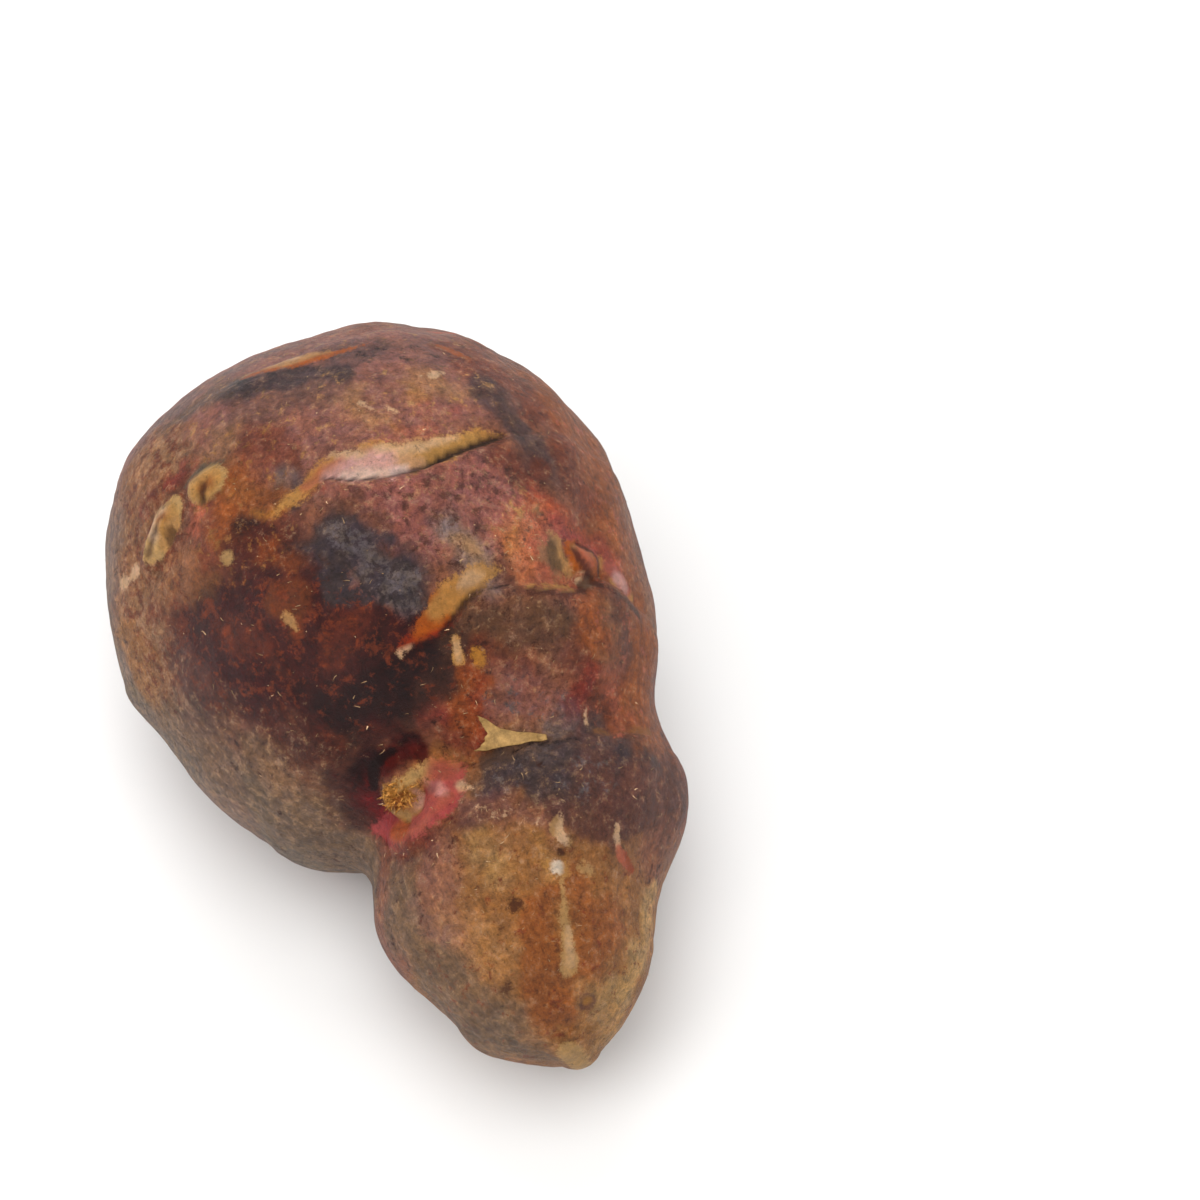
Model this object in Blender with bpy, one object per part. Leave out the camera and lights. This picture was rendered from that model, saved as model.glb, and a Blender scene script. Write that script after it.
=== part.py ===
"""A Jerusalem artichoke tuber, lying on its side. Metres, +Z up.

The tuber is one grown body, so it is one object. Its long axis runs along Y: the nose, where the shoots
start, points to -Y, and the scar of the stolon that it grew on is at +Y. It rests on a flat spot under its
crown and on a smaller one under its nose, and the origin is at the bottom centre of its bounding box.

The form is a smooth union of a few swellings, given as ellipsoids. Its rings, hollows and buds are relief,
raised from that form along its normals. A place on the skin is given as (along, round): millimetres along Y,
and degrees round the long axis, 0 on top and 90 on the +X side.
"""

import math
from collections import namedtuple

import bmesh
import bpy
import numpy as np

MM = 0.001
NODE = "tuber"

# The swellings that the tuber grew from, in millimetres. Each runs into the ones before it over its blend.
Lobe = namedtuple("Lobe", "centre radii turn_deg blend")
LOBES = {
    "crown": Lobe((-1.3, 14.3, 25.5), (27.8, 29.8, 25.0), 0, 0),
    "left_shoulder": Lobe((-12.6, 20.5, 25.0), (16.2, 19.5, 21.0), 30, 6),
    "left_knob": Lobe((-25.9, 14.8, 22.0), (6.0, 6.5, 8.0), 0, 6),
    "left_flank": Lobe((-16.0, 6.0, 18.0), (11.0, 12.0, 14.0), -25, 8),
    "belly": Lobe((-9.5, -2.5, 20.0), (13.5, 12.0, 16.0), 30, 6),
    "right_flank": Lobe((10.0, -0.6, 22.0), (12.5, 17.6, 20.0), 0, 8),
    "nose": Lobe((3.6, -19.7, 18.0), (18.8, 12.6, 17.0), 18, 5),
    "nose_tip": Lobe((0.7, -33.0, 16.5), (9.8, 9.6, 10.5), 0, 10),
}

# The middle line of the body, from the nose to the stolon end.
NOSE_END = np.array([0.0, -40.0, 17.0])
STOLON_END = np.array([-1.5, 40.0, 25.0])
FARTHEST = 60.0  # no skin is further from the middle line than this
REST_LEVEL = 1.5  # the form is flattened below this height, where it lies on the surface
RELIEF_FREE = 2.5  # the relief fades out over this height above the rest level

# Leaf-scar rings. Each follows a path of (round, along) places, and has torn open between two angles. The skin
# on its nose side ends in a lip, and drops by the ring's depth to the torn side.
Ring = namedtuple("Ring", "path depth torn_from torn_to")
RINGS = {
    "stolon_end": Ring(((-60, 30), (-28, 30.5), (-12, 32), (2, 33.5), (30, 32.5), (90, 31), (180, 32)), 0.4, -30, 8),
    "crown": Ring(
        ((-150, 12), (-60, 13.5), (-24, 12.6), (-13, 12.5), (-8, 11), (-2, 10.2), (5, 10.2),
         (12, 10.8), (19, 12), (26, 13), (45, 14), (75, 13), (140, 11)),
        1.1, -22, 28,
    ),
    "waist": Ring(
        ((-120, -8), (-40, -9), (-12, -7), (-4, -5.8), (1, -6), (6, -4.8), (12, -3.3), (17, -3.5),
         (31, -4.4), (38, -4.5), (45, -2.9), (57, -4), (80, -5), (150, -6)),
        1.1, -6, 62,
    ),
    "neck": Ring(
        ((-160, -15), (-60, -14), (-36, -13), (-18, -15), (-5, -16.2), (0, -16.6), (12, -17), (32, -17.2), (60, -16.8), (90, -16), (150, -15)),
        0.9, -45, 50,
    ),
    "nose": Ring(((-90, -35), (0, -35), (90, -34), (180, -36)), 0.3, 140, 260),
}
UNTORN_SHARE = 0.25  # of the depth, where the ring has kept its skin
TORN_FADE_DEG = 5.0
STEP_WIDTH = 1.0  # the drop from the lip is spread over about this
CLIMB = 3.5  # the torn side climbs back to the skin over about this distance
LIP_HEIGHT = 0.35
LIP_WIDTH = 1.8

# Buds and the stubs of cut roots: a ridge along a few places on the skin, in a hollow of its own.
Bud = namedtuple("Bud", "path radius height hollow_radius hollow_depth")
BUDS = {
    "front_bud": Bud(((-15.6, -38), (-14.8, -35)), 2.6, 2.6, 5.5, 1.3),
    "front_bud_collar": Bud(((-14.2, -25), (-16.8, -19), (-19.0, -28), (-19.6, -42), (-18.2, -52)), 2.0, 1.1, 4.0, 0.0),
    "papery_scale": Bud(((-14.6, 3), (-16.6, 17)), 1.4, 0.8, 3.0, 0.0),
    "right_bud": Bud(((-1.6, 40), (-1.2, 42)), 2.4, 1.3, 6.0, 0.8),
    "left_root": Bud(((16.3, -58), (17.5, -48)), 2.2, 0.8, 4.5, 0.4),
    "left_root_top": Bud(((18.6, -39), (18.3, -35)), 2.2, 0.8, 4.0, 0.4),
    "back_bud": Bud(((32.6, 99), (33.4, 102)), 2.8, 2.0, 5.0, 0.9),
    "under_right_bud": Bud(((11.0, 119), (12.2, 122)), 2.8, 1.9, 5.0, 0.9),
    "under_left_bud": Bud(((-5.0, -138), (-4.0, -142)), 2.6, 1.6, 5.0, 1.0),
    "chin_bud": Bud(((-28.4, 124), (-27.6, 127)), 2.4, 1.5, 4.0, 0.7),
    "stolon_scar": Bud(((44.0, -40), (44.0, 140)), 3.2, 1.4, 6.5, 1.2),
    "nose_bud": Bud(((-42.4, -20), (-42.4, 160)), 2.6, 1.0, 3.0, 0.0),
}

# Slow swells, so that the skin isn't a perfect surface: the height, and the turns per metre along each axis.
Swell = namedtuple("Swell", "height turns shift")
SWELLS = (
    Swell(0.16, (52.0, 31.0, 40.0), 0.4),
    Swell(0.12, (-71.0, 44.0, 63.0), 2.1),
    Swell(0.08, (95.0, -38.0, -88.0), 4.0),
)

GRID = 26  # faces along an edge of the cube that is blown up into the tuber
RELAX_ROUNDS = 40
RELAX_SHARE = 0.5
BUD_MARGIN = 0.8  # faces this near a bud are split once more, for its shape

SKIN_COLOUR = (0.20, 0.075, 0.045, 1.0)
SKIN_ROUGHNESS = 0.5


def turned(points, degrees):
    """Points turned about Z, by -degrees."""
    c, s = math.cos(math.radians(degrees)), math.sin(math.radians(degrees))
    x, y, z = points.T
    return np.stack([x * c + y * s, y * c - x * s, z], axis=1)


def distance_to_lobe(points, lobe):
    """About how far each point is outside an ellipsoid; negative inside it."""
    local = turned(points - np.array(lobe.centre), lobe.turn_deg)
    radii = np.array(lobe.radii)
    scaled = np.linalg.norm(local / radii, axis=1)
    growth = np.linalg.norm(local / radii**2, axis=1)
    return scaled * (scaled - 1) / np.maximum(growth, 1e-9)


def distance_to_form(points):
    """The smooth union of the lobes: negative inside the tuber."""
    total = None
    for lobe in LOBES.values():
        own = distance_to_lobe(points, lobe)
        if total is None:
            total = own
            continue
        share = np.clip(0.5 + 0.5 * (total - own) / lobe.blend, 0, 1)
        total = total * (1 - share) + own * share - lobe.blend * share * (1 - share)
    return total


def outward(points):
    """The form's unit normals."""
    step = 0.05
    slopes = [distance_to_form(points + step * axis) - distance_to_form(points - step * axis) for axis in np.eye(3)]
    normals = np.stack(slopes, axis=1)
    return normals / np.linalg.norm(normals, axis=1)[:, None]


def reach_form(starts, directions):
    """Where rays that start inside the form leave it, by halving."""
    near, far = np.zeros(len(starts)), np.full(len(starts), FARTHEST)
    for _ in range(24):
        middle = (near + far) / 2
        outside = distance_to_form(starts + directions * middle[:, None]) > 0
        far = np.where(outside, middle, far)
        near = np.where(outside, near, middle)
    return starts + directions * near[:, None]


def middle_line(along):
    share = (np.asarray(along, float) - NOSE_END[1]) / (STOLON_END[1] - NOSE_END[1])
    return NOSE_END + np.multiply.outer(share, STOLON_END - NOSE_END)


def round_angle(points):
    """Degrees round the long axis, 0 on top and 90 at +X."""
    off = points - middle_line(points[:, 1])
    return np.degrees(np.arctan2(off[:, 0], off[:, 2]))


def places(spots):
    """The points of the form at a list of (along, round)."""
    alongs, rounds = np.array(spots, float).T
    angles = np.radians(rounds)
    across = np.stack([np.sin(angles), np.zeros(len(angles)), np.cos(angles)], axis=1)
    return reach_form(middle_line(alongs), across)


def off_path(points, spots):
    """The distance from each point to a path along the skin."""
    corners = places(spots)
    nearest = np.full(len(points), FARTHEST)
    for first, last in zip(corners, corners[1:]):
        run = last - first
        share = np.clip((points - first) @ run / (run @ run), 0, 1)
        nearest = np.minimum(nearest, np.linalg.norm(points - first - share[:, None] * run, axis=1))
    return nearest


def rises(values, width):
    """0 far below zero and 1 far above it, over about this width."""
    return 1 / (1 + np.exp(np.clip(-4 * values / width, -30, 30)))


def angle_window(angles, low, high):
    """1 between two angles, fading to 0 outside them."""
    off = (angles - (low + high) / 2 + 180) % 360 - 180
    return rises((high - low) / 2 - np.abs(off), 4 * TORN_FADE_DEG)


def ring_relief(points):
    """The leaf-scar rings, faint all the way round and deeper where they are torn open."""
    angles = round_angle(points)
    relief = np.zeros(len(points))
    for ring in RINGS.values():
        rounds, alongs = np.array(ring.path, float).T
        beyond = points[:, 1] - np.interp(angles, rounds, alongs, period=360)
        torn = UNTORN_SHARE + (1 - UNTORN_SHARE) * angle_window(angles, ring.torn_from, ring.torn_to)
        drop = np.exp(-np.abs(beyond) / CLIMB) * rises(beyond, STEP_WIDTH)
        lip = np.exp(-(((beyond + LIP_WIDTH) / LIP_WIDTH) ** 2))
        relief += torn * (LIP_HEIGHT * lip - ring.depth * drop)
    return relief


def bud_relief(points):
    """The buds and root stubs, round-topped, in their hollows."""
    relief = np.zeros(len(points))
    for bud in BUDS.values():
        away = off_path(points, bud.path)
        relief -= bud.hollow_depth * np.exp(-((away / bud.hollow_radius) ** 2))
        relief += bud.height * np.clip(1 - (away / bud.radius) ** 2, 0, 1) ** 1.2
    return relief


def swell_relief(points):
    relief = np.zeros(len(points))
    for swell in SWELLS:
        relief += swell.height * np.sin(2 * math.pi * MM * (points @ np.array(swell.turns)) + swell.shift)
    return relief


def raised(points):
    """Points of the form with their relief, flattened where the tuber lies."""
    relief = ring_relief(points) + bud_relief(points) + swell_relief(points)
    relief *= np.clip((points[:, 2] - REST_LEVEL) / RELIEF_FREE, 0, 1)
    points = points + outward(points) * relief[:, None]
    points[:, 2] = np.maximum(points[:, 2], REST_LEVEL)
    return points


def settled(points):
    """Points near the form, moved straight on to it."""
    return points - outward(points) * distance_to_form(points)[:, None]


def relaxed(points, edges):
    """Points spread evenly over the form, so that no face is stretched where the body folds."""
    first, second = edges.T
    count = np.bincount(edges.ravel(), minlength=len(points))
    for _ in range(RELAX_ROUNDS):
        middle = np.stack(
            [np.bincount(first, column[second]) + np.bincount(second, column[first]) for column in points.T],
            axis=1,
        ) / count[:, None]
        points = settled(points + RELAX_SHARE * (middle - points))
    return points


def ball_to_form(ball):
    """Points of a unit ball carried out to the form from along the body's middle line, in millimetres."""
    starts = middle_line(20.0 * ball[:, 1])
    directions = ball * np.array([1.0, 0.8, 1.0])
    return reach_form(starts, directions / np.linalg.norm(directions, axis=1)[:, None])


def positions(bm):
    bm.verts.index_update()
    return np.array([vert.co[:] for vert in bm.verts])


def move_to(bm, points):
    for vert, point in zip(bm.verts, points):
        vert.co = point


def grid_on_form():
    """A cube with a grid on each face, blown up to a ball, carried out to the form and relaxed."""
    bm = bmesh.new()
    bmesh.ops.create_cube(bm, size=2.0)
    bmesh.ops.subdivide_edges(bm, edges=bm.edges[:], cuts=GRID - 1, use_grid_fill=True)
    ball = np.tan(positions(bm) * math.pi / 4)
    ball /= np.linalg.norm(ball, axis=1)[:, None]
    edges = np.array([[vert.index for vert in edge.verts] for edge in bm.edges])
    move_to(bm, relaxed(ball_to_form(ball), edges))
    return bm


def split_near_buds(bm):
    """Splits the faces near each bud once more, so that its stub keeps its shape."""
    points = positions(bm)
    near = np.zeros(len(points), bool)
    for bud in BUDS.values():
        near |= off_path(points, bud.path) < bud.radius + BUD_MARGIN
    faces = [face for face in bm.faces if any(near[vert.index] for vert in face.verts)]
    edges = list({edge for face in faces for edge in face.edges})
    bmesh.ops.subdivide_edges(bm, edges=edges, cuts=1, use_grid_fill=True)
    bmesh.ops.triangulate(bm, faces=[face for face in bm.faces if len(face.verts) > 4])
    move_to(bm, settled(positions(bm)))


def skin_material():
    material = bpy.data.materials.new("tuber_skin")
    material.use_nodes = True
    shader = material.node_tree.nodes["Principled BSDF"]
    shader.inputs["Base Color"].default_value = SKIN_COLOUR
    shader.inputs["Roughness"].default_value = SKIN_ROUGHNESS
    shader.inputs["Metallic"].default_value = 0.0
    return material


def make_tuber(collection):
    bm = grid_on_form()
    split_near_buds(bm)
    points = raised(positions(bm))
    middle = (points.min(axis=0) + points.max(axis=0)) / 2
    move_to(bm, (points - [middle[0], middle[1], REST_LEVEL]) * MM)
    bmesh.ops.recalc_face_normals(bm, faces=bm.faces[:])
    mesh = bpy.data.meshes.new(NODE)
    bm.to_mesh(mesh)
    bm.free()
    mesh.shade_smooth()
    mesh.materials.append(skin_material())
    collection.objects.link(bpy.data.objects.new(NODE, mesh))


def main():
    for obj in list(bpy.data.objects):
        bpy.data.objects.remove(obj, do_unlink=True)
    collection = bpy.data.collections.new("jerusalem_artichoke")
    bpy.context.scene.collection.children.link(collection)
    make_tuber(collection)


main()
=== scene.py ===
"""The looks of a Jerusalem artichoke tuber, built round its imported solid.

The skin is the same form as the solid's, with more faces and finer relief: a smooth union of the swellings
that the tuber grew from, with its leaf-scar rings, hollows and buds raised along its normals. Places on it
are given as (along, round): millimetres along its length, and degrees round its long axis, 0 on top and 90
on the +X side. Sizes here are in millimetres, and become metres where they reach Blender.
"""

import itertools
import math
from collections import namedtuple

import bmesh
import bpy
import numpy as np
from mathutils import Matrix


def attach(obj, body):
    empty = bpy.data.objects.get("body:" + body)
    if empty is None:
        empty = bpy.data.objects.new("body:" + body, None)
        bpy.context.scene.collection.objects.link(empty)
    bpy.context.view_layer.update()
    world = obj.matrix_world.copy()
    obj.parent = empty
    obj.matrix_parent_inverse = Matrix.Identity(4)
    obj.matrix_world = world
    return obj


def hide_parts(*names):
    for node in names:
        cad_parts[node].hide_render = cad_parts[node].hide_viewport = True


MM = 0.001
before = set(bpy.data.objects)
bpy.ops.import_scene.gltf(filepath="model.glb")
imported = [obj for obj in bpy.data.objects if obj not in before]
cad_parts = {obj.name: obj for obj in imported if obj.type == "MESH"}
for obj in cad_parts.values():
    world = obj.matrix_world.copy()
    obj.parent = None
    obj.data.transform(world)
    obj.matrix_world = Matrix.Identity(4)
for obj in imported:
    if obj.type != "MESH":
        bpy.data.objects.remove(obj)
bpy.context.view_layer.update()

# ---- the form, as in the solid's source

Lobe = namedtuple("Lobe", "centre radii turn_deg blend")
LOBES = {
    "crown": Lobe((-1.3, 14.3, 25.5), (27.8, 29.8, 25), 0, 0),
    "left_shoulder": Lobe((-12.6, 20.5, 25), (16.2, 19.5, 21), 30, 6),
    "left_knob": Lobe((-25.9, 14.8, 22), (6, 6.5, 8), 0, 6),
    "left_flank": Lobe((-16, 6, 18), (11, 12, 14), -25, 8),
    "belly": Lobe((-9.5, -2.5, 20), (13.5, 12, 16), 30, 6),
    "right_flank": Lobe((10, -0.6, 22), (12.5, 17.6, 20), 0, 8),
    "nose": Lobe((3.6, -19.7, 18), (18.8, 12.6, 17), 18, 5),
    "nose_tip": Lobe((0.7, -33, 16.5), (9.8, 9.6, 10.5), 0, 10),
}
NOSE_END = np.array([0.0, -40.0, 17.0])
STOLON_END = np.array([-1.5, 40.0, 25.0])
FARTHEST = 60.0  # farther than any of the skin is from the middle line
REST_LEVEL = 1.5  # the level the tuber lies on
RELIEF_FREE = 2.5  # above that level by this much, the relief has its full height
TUBER_ZERO = np.array([-2.939, 0.411, 1.5])  # the frame's origin, as the form's own numbers have it

# A ring's path is a list of (round, along). It is torn open from one angle to another.
Ring = namedtuple("Ring", "path depth torn_from torn_to")
RINGS = {
    "stolon_end": Ring(
        ((-60, 30), (-28, 30.5), (-12, 32), (2, 33.5), (30, 32.5), (90, 31), (180, 32)),
        0.4, -30, 8,
    ),
    "crown": Ring(
        ((-150, 12), (-60, 13.5), (-24, 12.6), (-13, 12.5), (-8, 11), (-2, 10.2), (5, 10.2),
         (12, 10.8), (19, 12), (26, 13), (45, 14), (75, 13), (140, 11)),
        1.1, -22, 28,
    ),
    "waist": Ring(
        ((-120, -8), (-40, -9), (-12, -7), (-4, -5.8), (1, -6), (6, -4.8), (12, -3.3), (17, -3.5),
         (31, -4.4), (38, -4.5), (45, -2.9), (57, -4), (80, -5), (150, -6)),
        1.1, -6, 62,
    ),
    "neck": Ring(
        ((-160, -15), (-60, -14), (-36, -13), (-18, -15), (-5, -16.2), (0, -16.6), (12, -17),
         (32, -17.2), (60, -16.8), (90, -16), (150, -15)),
        0.9, -45, 50,
    ),
    "nose": Ring(((-90, -35), (0, -35), (90, -34), (180, -36)), 0.3, 140, 260),
}
UNTORN_SHARE = 0.25
TORN_FADE_DEG = 5.0
STEP_WIDTH = 0.9
CLIMB = 3.5
LIP_HEIGHT = 0.35
LIP_WIDTH = 1.8

BUD_ROUNDNESS = 1.2
Bud = namedtuple("Bud", "path radius height hollow_radius hollow_depth")
BUDS = {
    "front_bud": Bud(((-15.6, -38), (-14.8, -35)), 2.6, 2.6, 5.5, 1.3),
    "front_bud_collar": Bud(
        ((-14.2, -25), (-16.8, -19), (-19, -28), (-19.6, -42), (-18.2, -52)),
        2, 1.1, 4, 0,
    ),
    "papery_scale": Bud(((-14.6, 3), (-16.6, 17)), 1.4, 0.8, 3, 0),
    "right_bud": Bud(((-1.6, 40), (-1.2, 42)), 2.4, 1.3, 6, 0.8),
    "left_root": Bud(((16.6, -59), (18.5, -49)), 2, 0.8, 4.5, 0.5),
    "left_root_top": Bud(((18.6, -39), (18.3, -35)), 2.2, 0.8, 4, 0.4),
    "back_bud": Bud(((32.6, 99), (33.4, 102)), 2.8, 2, 5, 0.9),
    "under_right_bud": Bud(((11, 119), (12.2, 122)), 2.8, 1.9, 5, 0.9),
    "under_left_bud": Bud(((-5, -138), (-4, -142)), 2.6, 1.6, 5, 1),
    "chin_bud": Bud(((-28.4, 124), (-27.6, 127)), 2.4, 1.5, 4, 0.7),
    "stolon_scar": Bud(((44, -40), (44, 140)), 3.2, 1.4, 6.5, 1.2),
    "nose_bud": Bud(((-42.4, -20), (-42.4, 160)), 2.6, 1, 3, 0),
}
Swell = namedtuple("Swell", "height turns shift")
SWELLS = (
    Swell(0.16, (52, 31, 40), 0.4),
    Swell(0.12, (-71, 44, 63), 2.1),
    Swell(0.08, (95, -38, -88), 4),
)

# ---- how finely it is made

GRID = 30  # faces along an edge of the cube that is blown up into the tuber
FINER = 4  # each of those faces is split into this many along each edge
RELAX_ROUNDS = 50
RELAX_SHARE = 0.5

# ---- colours of the skin and of what shows through it, in sRGB 0 to 255

PALETTE = {
    "skin": (140, 94, 76),
    "mauve": (150, 104, 94),
    "rose": (156, 100, 92),
    "plum": (100, 66, 58),
    "maroon": (64, 29, 26),
    "soot": (42, 28, 27),
    "redbrown": (116, 62, 47),
    "rust": (150, 88, 54),
    "ember": (126, 66, 48),
    "tan": (156, 110, 70),
    "grit": (152, 116, 88),
    "dust": (120, 100, 82),
    "dusk": (98, 76, 64),
    # a painted sheen, along the left edge
    "rim": (130, 120, 106),
    "charcoal": (68, 60, 62),
    # grey skin, and in places a painted sheen
    "slate": (108, 98, 96),
    # a painted sheen
    "bloom": (142, 134, 130),
    "umber": (66, 40, 32),
    "drab": (88, 68, 52),
    "cream": (216, 180, 146),
    "straw": (194, 158, 110),
    "scar": (190, 146, 100),
    "flesh": (218, 172, 164),
    # pale marks, and painted highlights
    "white": (232, 216, 198),
    "gold": (198, 148, 92),
    "olivegold": (190, 148, 94),
    "olive": (104, 94, 78),
    "amber": (190, 134, 72),
    "orange": (176, 98, 56),
    "vermilion": (156, 66, 46),
    "crimson": (130, 48, 50),
    "wine": (82, 22, 27),
    # painted shade, for the insides of cracks, folds and hollows
    "black": (40, 22, 24),
    "pink": (172, 84, 84),
    "salmon": (188, 110, 88),
    "lint": (180, 148, 116),
    "paper": (158, 128, 88),
}

# The palette is what the eye sees in the studio. The studio's haze is taken off to get the pigment.
STUDIO_HAZE = 0.012
STUDIO_FADE = 1.14  # how much stronger the pigment's hue is than it looks
DARKEST = 0.002  # no pigment is darker than this


def linear(name):
    """A palette colour's pigment, as linear red, green and blue."""
    rgb = np.array(PALETTE[name], float) / 255
    seen = np.where(rgb <= 0.04045, rgb / 12.92, ((rgb + 0.055) / 1.055) ** 2.4)
    seen = seen.mean() + STUDIO_FADE * (seen - seen.mean())
    return np.maximum(seen - STUDIO_HAZE, DARKEST)


# ---- the form's own geometry


def turned(points, degrees):
    """Points turned about Z, by -degrees."""
    c, s = math.cos(math.radians(degrees)), math.sin(math.radians(degrees))
    x, y, z = points.T
    return np.stack([x * c + y * s, y * c - x * s, z], axis=1)


def distance_to_lobe(points, lobe):
    """About how far each point is outside an ellipsoid; negative inside it."""
    local = turned(points - np.array(lobe.centre), lobe.turn_deg)
    radii = np.array(lobe.radii)
    scaled = np.linalg.norm(local / radii, axis=1)
    growth = np.linalg.norm(local / radii**2, axis=1)
    return scaled * (scaled - 1) / np.maximum(growth, 1e-9)


def distance_to_form(points):
    """The smooth union of the lobes: negative inside the tuber."""
    first, *others = LOBES.values()
    total = distance_to_lobe(points, first)
    for lobe in others:
        own = distance_to_lobe(points, lobe)
        share = np.clip(0.5 + 0.5 * (total - own) / lobe.blend, 0, 1)
        total = total * (1 - share) + own * share - lobe.blend * share * (1 - share)
    return total


SLOPE_STEP = 0.05
HALVINGS = 24


def unit(vectors):
    return vectors / np.linalg.norm(vectors, axis=1)[:, None]


def outward(points):
    """The form's unit normals."""
    steps = SLOPE_STEP * np.eye(3)
    slopes = [distance_to_form(points + step) - distance_to_form(points - step) for step in steps]
    return unit(np.stack(slopes, axis=1))


def reach_form(starts, directions):
    """Where rays that start inside the form leave it, by halving."""
    near, far = np.zeros(len(starts)), np.full(len(starts), FARTHEST)
    for _ in range(HALVINGS):
        middle = (near + far) / 2
        outside = distance_to_form(starts + directions * middle[:, None]) > 0
        far = np.where(outside, middle, far)
        near = np.where(outside, near, middle)
    return starts + directions * near[:, None]


def middle_line(along):
    share = (np.asarray(along, float) - NOSE_END[1]) / (STOLON_END[1] - NOSE_END[1])
    return NOSE_END + np.multiply.outer(share, STOLON_END - NOSE_END)


def round_angle(points):
    """Degrees round the long axis, 0 on top and 90 at +X."""
    off = points - middle_line(points[:, 1])
    return np.degrees(np.arctan2(off[:, 0], off[:, 2]))


def places(spots):
    """The points of the form at places given as along, round, along, round and so on."""
    spots = np.reshape(spots, (-1, 2))
    angle = np.radians(spots[:, 1])
    across = np.stack([np.sin(angle), np.zeros(len(spots)), np.cos(angle)], axis=1)
    return reach_form(middle_line(spots[:, 0]), across)


def off_path(points, spots):
    """The distance from each point to a path along the skin, and how far along the path it is, 0 to 1."""
    corners = places(spots)
    if len(corners) == 1:
        return np.linalg.norm(points - corners[0], axis=1), np.zeros(len(points))
    nearest = np.full(len(points), FARTHEST)
    reached = np.zeros(len(points))
    for number, (first, last) in enumerate(zip(corners, corners[1:])):
        run = last - first
        share = np.clip((points - first) @ run / max(run @ run, 1e-9), 0, 1)
        away = np.linalg.norm(points - first - share[:, None] * run, axis=1)
        reached = np.where(away < nearest, (number + share) / (len(corners) - 1), reached)
        nearest = np.minimum(nearest, away)
    return nearest, reached


def rises(values, width):
    """0 far below zero and 1 far above it, over about this width."""
    return 1 / (1 + np.exp(np.clip(-4 * values / width, -30, 30)))


def angle_window(angles, low, high):
    """1 between two angles, fading to 0 outside them."""
    off = (angles - (low + high) / 2 + 180) % 360 - 180
    return rises((high - low) / 2 - np.abs(off), 4 * TORN_FADE_DEG)


THREE_OCTAVES = 1 + 1 / 2 + 1 / 4


def noise(points, size, seed=0):
    """Smooth noise from -1 to 1, about this many millimetres across."""
    scaled = points / size + 11.7 * seed
    cell = np.floor(scaled).astype(np.int64)
    part = scaled - cell
    part = part * part * (3 - 2 * part)
    total = np.zeros(len(points))
    for corner in itertools.product((0, 1), repeat=3):
        # each corner's place is hashed to a value from -1 to 1
        x, y, z = (cell + corner).T
        mixed = (x * 73856093) ^ (y * 19349663) ^ (z * 83492791) ^ (seed * 2971215073)
        mixed = ((mixed ^ (mixed >> 13)) * 1274126177) & 0xFFFFFFFF
        value = ((mixed ^ (mixed >> 16)) & 0xFFFF) / 32767.5 - 1
        total += value * np.prod(np.where(corner, part, 1 - part), axis=1)
    return total


def rough_noise(points, size, seed=0, octaves=3):
    """Noise with finer noise on it, each octave half the size and half the strength of the one before."""
    return sum(noise(points, size / 2**n, seed + n) / 2**n for n in range(octaves)) / THREE_OCTAVES


# ---- relief


def ring_relief(points):
    """The leaf-scar rings, faint all the way round and deeper where they are torn open."""
    angles = round_angle(points)
    relief = np.zeros(len(points))
    for ring in RINGS.values():
        rounds, alongs = np.array(ring.path, float).T
        beyond = points[:, 1] - np.interp(angles, rounds, alongs, period=360)
        torn = UNTORN_SHARE + (1 - UNTORN_SHARE) * angle_window(angles, ring.torn_from, ring.torn_to)
        drop = np.exp(-np.abs(beyond) / CLIMB) * rises(beyond, STEP_WIDTH)
        lip = np.exp(-(((beyond + LIP_WIDTH) / LIP_WIDTH) ** 2))
        relief += torn * (LIP_HEIGHT * lip - ring.depth * drop)
    return relief


def bud_relief(points):
    """The buds and root stubs, round-topped, in their hollows."""
    relief = np.zeros(len(points))
    for bud in BUDS.values():
        away, _ = off_path(points, bud.path)
        relief -= bud.hollow_depth * np.exp(-((away / bud.hollow_radius) ** 2))
        relief += bud.height * np.clip(1 - (away / bud.radius) ** 2, 0, 1) ** BUD_ROUNDNESS
    return relief


def swell_relief(points):
    """Broad waves, each with its turns in a metre along X, Y and Z."""
    turns = 2 * math.pi * MM * points
    return sum(swell.height * np.sin(turns @ np.array(swell.turns) + swell.shift) for swell in SWELLS)


GRAIN_RADIUS = 20
GRAIN_LENGTH = 7  # the grain is this many times as long as it is wide


def streak_space(points):
    """Points as they lie in the grain of the skin, which runs lengthwise: shrunk along, and at one radius."""
    angle = np.radians(round_angle(points))
    return np.stack(
        [GRAIN_RADIUS * np.sin(angle), points[:, 1] / GRAIN_LENGTH, GRAIN_RADIUS * np.cos(angle)],
        axis=1,
    )


LUMP_HEIGHT = 0.2
WRINKLE_HEIGHT = 0.09
PORE_HEIGHT = 0.05


def fine_relief(points):
    """Lumps, lengthwise wrinkles and grain, finer than the solid's."""
    grain = streak_space(points)
    lumps = LUMP_HEIGHT * rough_noise(points, 6.0, seed=3)
    wrinkles = WRINKLE_HEIGHT * rough_noise(grain, 1.6, seed=8)
    pores = PORE_HEIGHT * noise(points, 1.1, seed=14)
    return lumps + wrinkles + pores


def raised(points):
    """Points of the form with their relief, flattened where the tuber lies."""
    relief = ring_relief(points) + bud_relief(points) + swell_relief(points)
    relief += fine_relief(points) + stroke_relief(points)
    relief *= np.clip((points[:, 2] - REST_LEVEL) / RELIEF_FREE, 0, 1)
    points = points + outward(points) * relief[:, None]
    points[:, 2] = np.maximum(points[:, 2], REST_LEVEL)
    return points


# ---- the skin's mesh


def settled(points):
    """Points near the form, moved straight on to it."""
    return points - outward(points) * distance_to_form(points)[:, None]


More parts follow.
